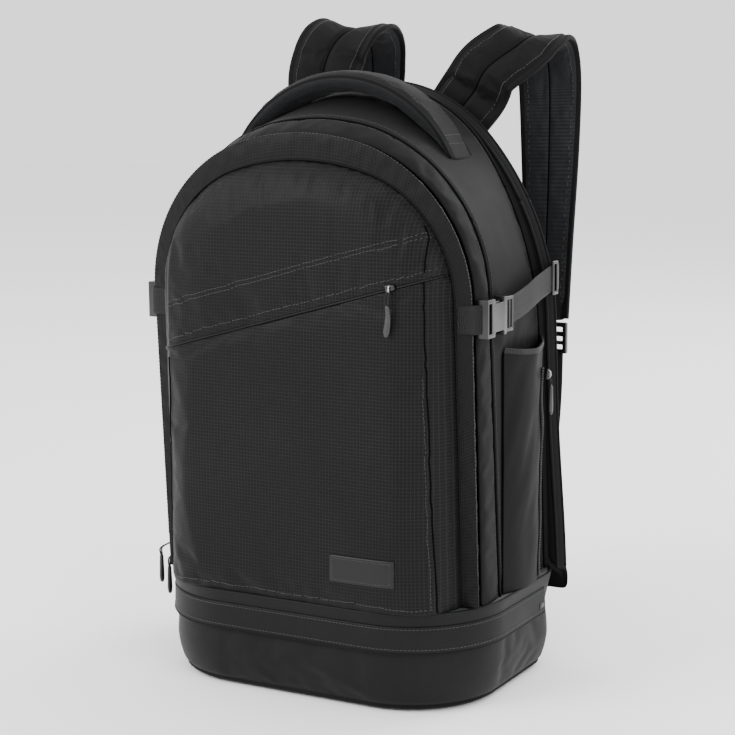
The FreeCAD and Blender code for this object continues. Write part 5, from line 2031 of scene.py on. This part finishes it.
@dataclass
class SidePocket:
    """A stretch pocket for a bottle, with its hem, its pleats and its upright zip."""

    shop: Shop
    hand: int

    @property
    def side(self) -> str:
        """Which side it is on."""
        return "right" if self.hand > 0 else "left"

    def surface(self, y: float, z: float, lift: float = 0.0) -> Vector:
        """A place on the pocket's skin."""
        t = (z - self.foot) / (self.hem - self.foot)
        bulge = lerp(9.5 * MM, 13 * MM, t)
        along = (y - (self.y0 + self.y1) / 2) / ((self.y1 - self.y0) / 2)
        chord = self.shop.pack.half_width - 7.6 * MM - 1 * MM * (1 + along)
        pleat = 0.9 * MM * math.sin((y * 0.8 - z * 0.35) / (6.5 * MM)) * well(z - self.hem + 60 * MM, 60 * MM)
        soft = 1.5 * MM * ripple(Vector((y - z * 0.35, z * 0.3, 0)), 17 * MM, 3)
        hold = max(0.0, 1 - along ** 2)
        return Vector((self.hand * (chord + (bulge + 1 * MM) * hold - 0.8 * MM + (pleat + soft) * hold ** 0.5
                                    * ease(t * 6)
                                    + lift), y, z))

    def cut(self) -> None:
        """Reads the pocket's box and cuts its skin."""
        low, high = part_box(f"side_pocket_{self.side}")
        self.y0, self.y1, self.foot, self.hem = low.y, high.y, low.z, high.z
        work = Cut(f"side_pocket_{self.side}_cloth")

        def place(u: float, v: float) -> Vector:
            """A place on the skin."""
            y = lerp(self.y0 + 0.4 * MM, self.y1 - 0.4 * MM, u if self.hand > 0 else 1 - u)
            z = lerp(self.foot, self.hem - 0.5 * MM, v)
            dip = 5 * MM * math.sin(math.pi * u) * ease((v - 0.7) / 0.3)
            return self.surface(y, z - dip)

        work.sheet(place, 56, 90, self.y1 - self.y0 + 8 * MM, self.hem - self.foot)
        self.skin = work.finish(self.shop.cloth("stretch_mesh"))

    def sew(self) -> None:
        """Finishes the skin, its hem and its zip, and places them."""
        shop = self.shop
        finished(self.skin, 1.3 * MM, 1)
        shop.place(self.skin, "pack_body", "stretch_mesh", [f"side_pocket_{self.side}"], 0.1)

        def hem(t: float) -> Vector:
            """Top edge of the skin."""
            y = lerp(self.y0 + 1 * MM, self.y1 - 1 * MM, t)
            return self.surface(y, self.hem - 0.5 * MM - 5 * MM * math.sin(math.pi * t), 0.1 * MM)

        edge = lambda t: self.surface(self.y0 + 0.6 * MM, lerp(self.foot + 2 * MM, self.hem - 2 * MM, t),
                                      0.3 * MM)
        # Painted shade: a near-black cord along the pocket's front edge stands in for the shadow where the
        # pocket meets the pack.
        fold = cordlet(f"pocket_edge_{self.side}", edge, 1.1 * MM, shop.wardrobe.shadow, 60, 8)
        shop.place(fold, "pack_body")
        tape = ribbon(f"pocket_hem_{self.side}", hem, lambda t: UP, 5 * MM, 2.0 * MM, shop.cloth("webbing"),
                      60)
        shop.place(tape, "pack_body", "webbing")
        low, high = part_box(f"side_zip_{self.side}")
        y = (low.y + high.y) / 2
        reach = high.z - low.z

        def on_zip(u: float, v: float) -> Vector:
            """A place on the zip's tape."""
            place_y = y + lerp(-4 * MM, 4 * MM, u if self.hand > 0 else 1 - u)
            place = self.surface(place_y, lerp(low.z, high.z, v))
            return Vector((self.hand * (abs(place.x) + 0.9 * MM), place_y, place.z))

        work = Cut(f"side_zip_{self.side}_cloth")
        work.sheet(on_zip, 4, 60, 8 * MM, reach)
        tape = finished(work.finish(shop.cloth("zip_tape")), 0.7 * MM)
        shop.place(tape, "pack_body", "zip_tape", [f"side_zip_{self.side}"])
        side_out = Vector((self.hand, 0, 0))
        coil = teeth(f"side_zip_{self.side}_coil", lambda t: on_zip(0.5, t) + side_out * 0.4 * MM, reach,
                     lambda t: side_out, vec(3.4, 1.3, 1.2), shop.wardrobe.coil)
        shop.place(coil, "pack_body", "moulded_plastic")


# ---------------------------------------------------------------- hardware


@dataclass
class ZipPull:
    """A slider with its bail, a loop of cord and a moulded grip."""

    shop: Shop
    slider: str
    slider_body: str
    grip: str
    grip_body: str
    out: Vector
    curl: float = 0.0

    def sew(self) -> None:
        """Makes the slider, the cord and the grip."""
        shop = self.shop
        body = shop.moulding(f"{self.slider}_casting", self.slider, "zip_metal", 0.8 * MM)
        shop.place(body, self.slider_body, "zip_metal", [self.slider])
        low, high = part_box(self.slider)
        middle = (low + high) / 2
        reach = abs((high - low).dot(self.out)) / 2
        top = middle + self.out * (reach - 0.3 * MM)

        def bail(t: float) -> Vector:
            """The bridge over the slider."""
            a = math.pi * t
            return top + UP * (3.0 * MM * math.cos(a)) + self.out * (2.0 * MM * math.sin(a))

        shop.place(cordlet(f"{self.slider}_bail", bail, 0.8 * MM, shop.wardrobe.bright, 20, 8),
                   self.slider_body, "zip_metal")
        low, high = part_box(self.grip)
        side = UP.cross(self.out)
        centre = (low + high) / 2
        tip = Vector((centre.x, centre.y, low.z))
        length = 28 * MM
        start = low.z + length
        flat = (high - low).dot(Vector((abs(self.out.x), abs(self.out.y), 0)))
        grip_out = tip + self.out * (flat / 2 - 1.6 * MM)
        hang = lambda z: Vector((grip_out.x, grip_out.y, z))
        span = high.z - start
        for hand in (-1, 1):
            run = curve_through([
                Vector((middle.x, middle.y, high.z - 1 * MM)) + self.out * (reach + 1.2 * MM) + side * hand
                * 0.9 * MM,
                hang(start + span * 0.5) + side * hand * 1.5 * MM,
                hang(start - 1 * MM) + side * hand * 1.0 * MM,
            ])
            shop.place(cordlet(f"{self.grip}_cord_{'ab'[hand > 0]}", run, 0.75 * MM, shop.cloth("webbing"),
                               24, 8),
                       self.grip_body, "webbing")
        work = Cut(f"{self.grip}_grip")

        def place(u: float, v: float) -> Vector:
            """A place on the grip's skin."""
            a = 2 * math.pi * u
            swell = lerp(2.0 * MM, 3.1 * MM, ease(v * 1.3)) * (1 - 0.45 * ease((v - 0.8) / 0.2))
            cap = math.sqrt(max(0.0, 1 - max(0.0, (v - 0.93) / 0.07) ** 2)) if v > 0.93 else 1.0
            cap = min(cap, math.sqrt(min(1.0, v / 0.06 + 0.05)))
            ridge = 0.22 * MM * (0.5 + 0.5
                                 * math.cos(v * length / (2.2 * MM) * 2 * math.pi)) * (0.2 < v < 0.85)
            x = squared(math.cos(a), 0.8) * swell * cap
            y = math.sin(a) * (1.7 * MM + ridge) * cap
            curve = self.curl * math.sin(v * math.pi * 1.5)
            return hang(lerp(start, low.z + 0.2 * MM, v)) + side * (x + curve) + self.out * y

        work.hose(place, 20, 60, 12 * MM, length)
        grip = work.finish(shop.cloth("pull_rubber"))
        shop.place(grip, self.grip_body, "pull_rubber", [self.grip])


@dataclass
class Compression:
    """One side's buckle and its webbing."""

    shop: Shop
    hand: int

    @property
    def side(self) -> str:
        """Which side it is on."""
        return "right" if self.hand > 0 else "left"

    def sew(self) -> None:
        """Makes the buckle halves and the webbing."""
        shop, side = self.shop, self.side
        female = shop.moulding(f"buckle_female_{side}_shell", f"buckle_female_{side}", "moulded_plastic",
                               1.1 * MM, 4)
        shop.place(female, "front_section", "moulded_plastic", [f"buckle_female_{side}"])
        male = shop.moulding(f"buckle_male_{side}_bar", f"buckle_male_{side}", "moulded_plastic", 0.9 * MM, 3)
        shop.place(male, f"buckle_{side}", "moulded_plastic", [f"buckle_male_{side}"])
        prongs = shop.moulding(f"buckle_prongs_{side}_arms", f"buckle_prongs_{side}", "moulded_plastic",
                               0.5 * MM, 2)
        shop.place(prongs, f"buckle_{side}", "moulded_plastic", [f"buckle_prongs_{side}"])
        low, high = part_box(f"side_webbing_{side}")
        z_low, z_high = low.z + 12 * MM, high.z - 12 * MM
        x = lambda a: self.hand * a
        outer = max(abs(low.x), abs(high.x)) - 1.0 * MM
        inner = min(abs(low.x), abs(high.x)) + 1.0 * MM
        web = curve_through([
            Vector((x(inner), low.y - 3 * MM, z_low)),
            Vector((x(lerp(inner, outer, 0.3) + 0.8 * MM), lerp(low.y, high.y, 0.33),
                    lerp(z_low, z_high, 0.3))),
            Vector((x(lerp(inner, outer, 0.7) + 0.8 * MM), lerp(low.y, high.y, 0.66),
                    lerp(z_low, z_high, 0.68))),
            Vector((x(outer), high.y + 2.5 * MM, z_high)),
        ])
        strap = ribbon(f"side_webbing_{side}_tape", web, lambda t: UP, 24 * MM, 1.5 * MM,
                       shop.cloth("webbing"), 60, 0.8 * MM)
        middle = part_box(f"buckle_male_{side}")[1].y
        shop.bend(strap, (f"buckle_{side}", "pack_body"), Vector((0, middle, 0)), Vector((0, high.y, 0)),
                  "webbing",
                  [f"side_webbing_{side}"])


@dataclass
class Rigging:
    """The shared webbing pieces: front tabs, rings and their tabs, ladder locks, lower webbing, anchors."""

    shop: Shop

    def sew(self) -> None:
        """Makes every tab, ring and strap end."""
        shop, pack = self.shop, self.shop.pack
        rings = shop.moulding("edge_rings_wire", "edge_rings", "moulded_plastic", 1.0 * MM, 4)
        shop.place(rings, "pack_body", "moulded_plastic", ["edge_rings"])
        low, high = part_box("buckle_female_right")
        buckle_x, buckle_y, buckle_z = (low.x + high.x) / 2, low.y, (low.z + high.z) / 2
        ring_low, ring_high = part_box("edge_rings")
        ring_z = (ring_low.z + ring_high.z) / 2
        seam_s, zip_s, edge_s = (arch.share_at(buckle_z) for arch in (pack.seam, pack.zip, pack.back_edge))
        for hand, side in ((1, "right"), (-1, "left")):
            share = lambda s: 1 - s if hand > 0 else s
            near = pack.seam.at(share(seam_s), 1.6 * MM, 1 * MM)
            far = pack.zip.at(share(zip_s), 2.2 * MM, -pack.zip_half)
            tab = curve_through([near, near.lerp(far, 0.5) + Vector((hand * 1.8 * MM, 0, 0)), far,
                                 Vector((hand * buckle_x, buckle_y + 1.4 * MM, buckle_z))])
            strap = ribbon(f"front_tab_{side}", tab, lambda t: UP, WEBBING, 1.7 * MM, shop.cloth("webbing"),
                           30)
            shop.place(strap, "front_section", "webbing", ["front_tabs"] if hand > 0 else [])
            under = curve_through([near + Vector((-hand * 0.2 * MM, 0, 0)),
                                   far - Vector((hand * 0.4 * MM, 1 * MM, 0)),
                                   Vector((hand * (buckle_x - 2.6 * MM), buckle_y + 2.4 * MM, buckle_z))])
            fold = ribbon(f"front_tab_{side}_fold", under, lambda t: UP, 24.4 * MM, 1.5 * MM,
                          shop.cloth("webbing"), 30)
            shop.place(fold, "front_section", "webbing")
            rest = Vector((hand * ring_high.x - hand * 1.5 * MM, ring_high.y - 1.5 * MM, ring_z))
            anchor = pack.back_edge.at(share(edge_s), -0.6 * MM, 15 * MM)
            anchor.z = ring_z
            loop = curve_through([rest, rest.lerp(anchor, 0.5) + Vector((hand * 0.6 * MM, 0, 0)), anchor])
            tie = ribbon(f"ring_tab_{side}", loop, lambda t: UP, 24 * MM, 2.2 * MM, shop.cloth("webbing"), 24)
            shop.place(tie, "pack_body", "webbing", ["ring_tabs"] if hand > 0 else [])
            lock = shop.moulding(f"ladder_lock_{side}_frame", f"ladder_lock_{side}", "moulded_plastic",
                                 1.0 * MM, 4)
            shop.place(lock, f"lock_{side}", "moulded_plastic", [f"ladder_lock_{side}"])
            self._lower(hand, side)

    def _lower(self, hand: int, side: str) -> None:
        """The adjusting webbing from the ladder lock to its anchor at the pad's foot."""
        shop = self.shop
        low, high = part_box(f"lower_webbing_{side}")
        lock_low, lock_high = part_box(f"ladder_lock_{side}")
        x_top = (lock_low.x + lock_high.x) / 2
        y_top = (lock_low.y + lock_high.y) / 2
        x_foot = x_top - hand * 4 * MM
        foot_y = low.y + 1.2 * MM
        points = [
            Vector((x_top, y_top + 0.6 * MM, lock_low.z + 3 * MM)),
            Vector((x_top, y_top - 1.5 * MM, high.z - 30 * MM)),
            Vector((x_top - hand * 1 * MM, y_top - 6 * MM, high.z - 75 * MM)),
            Vector((x_top - hand * 2 * MM, foot_y + 6 * MM, low.z + 48 * MM)),
            Vector((x_foot, foot_y, low.z - 2 * MM)),
        ]
        web = ribbon(f"lower_webbing_{side}_tape", curve_through(points), lambda t: Vector((1, 0, 0)),
                     WEBBING, 1.5 * MM, shop.cloth("webbing"), 70, 1.2 * MM)
        shop.bend(web, ("pack_body", f"strap_{side}"), Vector((x_foot, 0, low.z)), Vector((x_top, 0, high.z)),
                  "webbing", [f"lower_webbing_{side}"])
        a_low, a_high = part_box("lower_anchors")
        work = Cut(f"lower_anchor_{side}")

        def place(u: float, v: float) -> Vector:
            """A place on the anchor's skin."""
            half = lerp(20 * MM, 14 * MM, v)
            a = 2 * math.pi * u
            x = squared(math.cos(a), 0.4) * half
            y = squared(math.sin(a), 0.6) * 1.2 * MM
            return Vector((x_foot + x, (a_low.y + a_high.y) / 2 + y, lerp(a_low.z, a_high.z, v)))

        work.hose(place, 28, 16, 80 * MM, 21 * MM)
        tab = work.finish(shop.cloth("shell_fabric"))
        z0, z1, y = a_low.z + 4 * MM, a_high.z - 3 * MM, a_high.y + 1 * MM
        box = [Vector((x_foot + dx * MM, y, z)) for dx, z in ((-9, z0), (9, z0), (9, z1), (-9, z1))]
        pairs = [(box[i], box[j]) for i, j in ((0, 1), (1, 2), (2, 3), (3, 0), (0, 2), (1, 3))]
        rows = [(lambda t, p=p, q=q: p.lerp(q, t), (q - p).length) for p, q in pairs]
        shop.place(shop.needle.row(f"lower_anchor_{side}_stitches", rows, [tab], 2.6 * MM, 1.9 * MM,
                                   0.6 * MM), "pack_body")
        shop.place(tab, "pack_body", "shell_fabric", ["lower_anchors"] if hand > 0 else [], 0.2)


# ---------------------------------------------------------------- studio


@dataclass
class Studio:
    """Floor, light and camera."""

    azimuth: float = 29.12
    elevation: float = 9.07
    distance: float = 1.6867
    lens: float = 90.1
    roll: float = -0.47

    def build(self) -> None:
        """Makes the floor, the lights and the camera."""
        bm = bmesh.new()
        bmesh.ops.create_grid(bm, x_segments=2, y_segments=2, size=8.0)
        mesh = bpy.data.meshes.new("studio_floor")
        bm.to_mesh(mesh)
        bm.free()
        floor = bpy.data.objects.new("studio_floor", mesh)
        floor.location.z = -0.0005
        bpy.context.scene.collection.objects.link(floor)
        pale = bpy.data.materials.new("pale_floor")
        pale.use_nodes = True
        shader = pale.node_tree.nodes["Principled BSDF"]
        shader.inputs["Base Color"].default_value = (0.97, 0.97, 0.97, 1.0)
        shader.inputs["Roughness"].default_value = 0.95
        mesh.materials.append(pale)
        for name, place, size, power, tint in (
            ("key", (-1.9, -2.6, 2.4), 1.8, 110.0, (1.0, 1.0, 1.0)),
            ("fill", (2.8, -1.4, 1.5), 1.6, 40.0, (0.97, 0.98, 1.0)),
            ("rim", (1.2, 2.3, 2.0), 1.6, 60.0, (1.0, 1.0, 1.0)),
            ("top", (0.0, 0.0, 3.2), 2.4, 30.0, (1.0, 1.0, 1.0)),
        ):
            data = bpy.data.lights.new(name, "AREA")
            data.size = size
            data.energy = power
            data.color = tint
            lamp = bpy.data.objects.new(name, data)
            lamp.location = place
            lamp.rotation_euler = (Vector((0, 0, 0.25)) - Vector(place)).to_track_quat("-Z", "Y").to_euler()
            bpy.context.scene.collection.objects.link(lamp)
        world = bpy.data.worlds.new("studio")
        world.use_nodes = True
        world.node_tree.nodes["Background"].inputs[0].default_value = (1.0, 1.0, 1.0, 1.0)
        world.node_tree.nodes["Background"].inputs[1].default_value = 1.6
        bpy.context.scene.world = world
        self._camera()

    def _camera(self) -> None:
        """Points the camera at the pack from its front right."""
        a, e = math.radians(self.azimuth), math.radians(self.elevation)
        back = Vector((math.sin(a) * math.cos(e), -math.cos(a) * math.cos(e), math.sin(e)))
        target = Vector((0.0239, 0.0, 0.2882))
        data = bpy.data.cameras.new("camera")
        data.lens = self.lens
        data.sensor_width = 36.0
        camera = bpy.data.objects.new("camera", data)
        turn = (-back).to_track_quat("-Z", "Y").to_matrix() @ Matrix.Rotation(math.radians(self.roll), 3, "Z")
        camera.matrix_world = Matrix.Translation(target + back * self.distance) @ turn.to_4x4()
        bpy.context.scene.collection.objects.link(camera)
        bpy.context.scene.camera = camera


def strap_makers(shop: Shop) -> list[PaddedStrap]:
    """The two shoulder straps, through the places that the frame's straps pass.

    Args:
        shop: The workshop.

    Returns:
        Both straps.
    """
    pack = shop.pack
    top = pack.top
    head = pack.pad_rear(top)
    lean = (pack.back_edge.head_y - pack.back_edge.foot_y) / (top - pack.base_top)
    behind = lambda x, rear, above: Vector((x * MM, head + rear * MM, top + above * MM))
    on_pad = lambda x, above: Vector((x * MM, pack.pad_rear(top + above * MM) + 5.9 * MM, top + above * MM))
    flat = lambda across, rise: Vector((across, rise * lean, rise))
    right = [
        (on_pad(36, -95), flat(1, -0.1)), (on_pad(46, -61), flat(1, -0.3)), (on_pad(60, -35), flat(1, -0.5)),
        (behind(78, 11.4, -10), Vector((0.8, 0.12, -0.52))), (behind(91, 14, 11), Vector((0.82, 0.0, -0.5))),
        (behind(114, 24, 29), Vector((0.82, 0.05, -0.42))), (behind(122, 38, 37), Vector((0.86, 0.28, -0.2))),
        (behind(125, 54, 36), Vector((0.87, 0.4, -0.1))), (behind(126, 68, 24), Vector((0.9, 0.4, -0.05))),
        (behind(127, 75, -4), Vector((0.93, 0.33, 0))), (behind(128, 74, -67), Vector((0.96, 0.15, 0))),
        (behind(129, 69, -147), Vector((0.98, -0.05, 0))), (behind(130, 62, -229), Vector((1, -0.1, 0))),
    ]
    left = [
        (on_pad(-36, -95), flat(1, 0.1)), (on_pad(-54, -61), flat(1, 0.2)), (on_pad(-72, -35), flat(1, 0.25)),
        (behind(-84, 9.4, -7.6), Vector((1, 0.05, 0.18))), (behind(-81, 12, 19), Vector((1, 0.15, 0.05))),
        (behind(-73, 19, 38), Vector((0.95, 0.3, 0.03))), (behind(-63, 34, 47), Vector((0.92, 0.36, 0.02))),
        (behind(-58, 52, 43), Vector((0.92, 0.38, 0))), (behind(-60, 66, 24), Vector((0.93, 0.34, 0))),
        (behind(-68, 74, -17), Vector((0.97, 0.2, -0.1))), (behind(-104, 75, -87), Vector((1, 0.05, -0.2))),
        (behind(-129, 70, -162), Vector((1, 0, -0.05))), (behind(-130, 62, -229), Vector((1, 0.1, 0))),
    ]
    right_widths = (60, 61, 62, 63, 61, 59, 60, 60, 58, 56, 53, 49, 45)
    left_widths = (60, 63, 68, 73, 71, 68, 66, 65, 62, 58, 54, 50, 45)
    return [PaddedStrap(shop, "right", right, right_widths), PaddedStrap(shop, "left", left, left_widths)]


def pulls(shop: Shop) -> list[ZipPull]:
    """Every slider with a pull."""
    left, right, front = Vector((-1, 0, 0)), Vector((1, 0, 0)), Vector((0, -1, 0))
    return [
        ZipPull(shop, "main_slider_upper", "main_slider_upper", "main_pull_upper", "main_pull_upper", left),
        ZipPull(shop, "main_slider_lower", "main_slider_lower", "main_pull_lower", "main_pull_lower", left),
        ZipPull(shop, "slant_zip_slider", "slant_zip_slider", "slant_zip_pull", "slant_zip_pull", front,
                0.9 * MM),
        ZipPull(shop, "side_slider_right", "side_slider_right", "side_pull_right", "side_pull_right", right),
        ZipPull(shop, "side_slider_left", "side_slider_left", "side_pull_left", "side_pull_left", left),
    ]


def main() -> None:
    """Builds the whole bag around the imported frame."""
    logging.basicConfig(level=logging.INFO, format="%(name)s %(message)s")
    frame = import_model()
    wardrobe = Wardrobe()
    shop = Shop(frame, Pack(), wardrobe, Tailor(), Needle(wardrobe.thread))
    soft = [BootBase(shop), FrontSection(shop), MainBody(shop), BackPad(shop), *strap_makers(shop),
            GrabHandle(shop),
            SidePocket(shop, 1), SidePocket(shop, -1)]
    for part in soft:
        part.cut()
    shop.tailor.run()
    for part in soft:
        part.sew()
    for part in [*pulls(shop), Compression(shop, 1), Compression(shop, -1), Rigging(shop)]:
        part.sew()
    Studio().build()


if __name__ == "__main__":
    main()
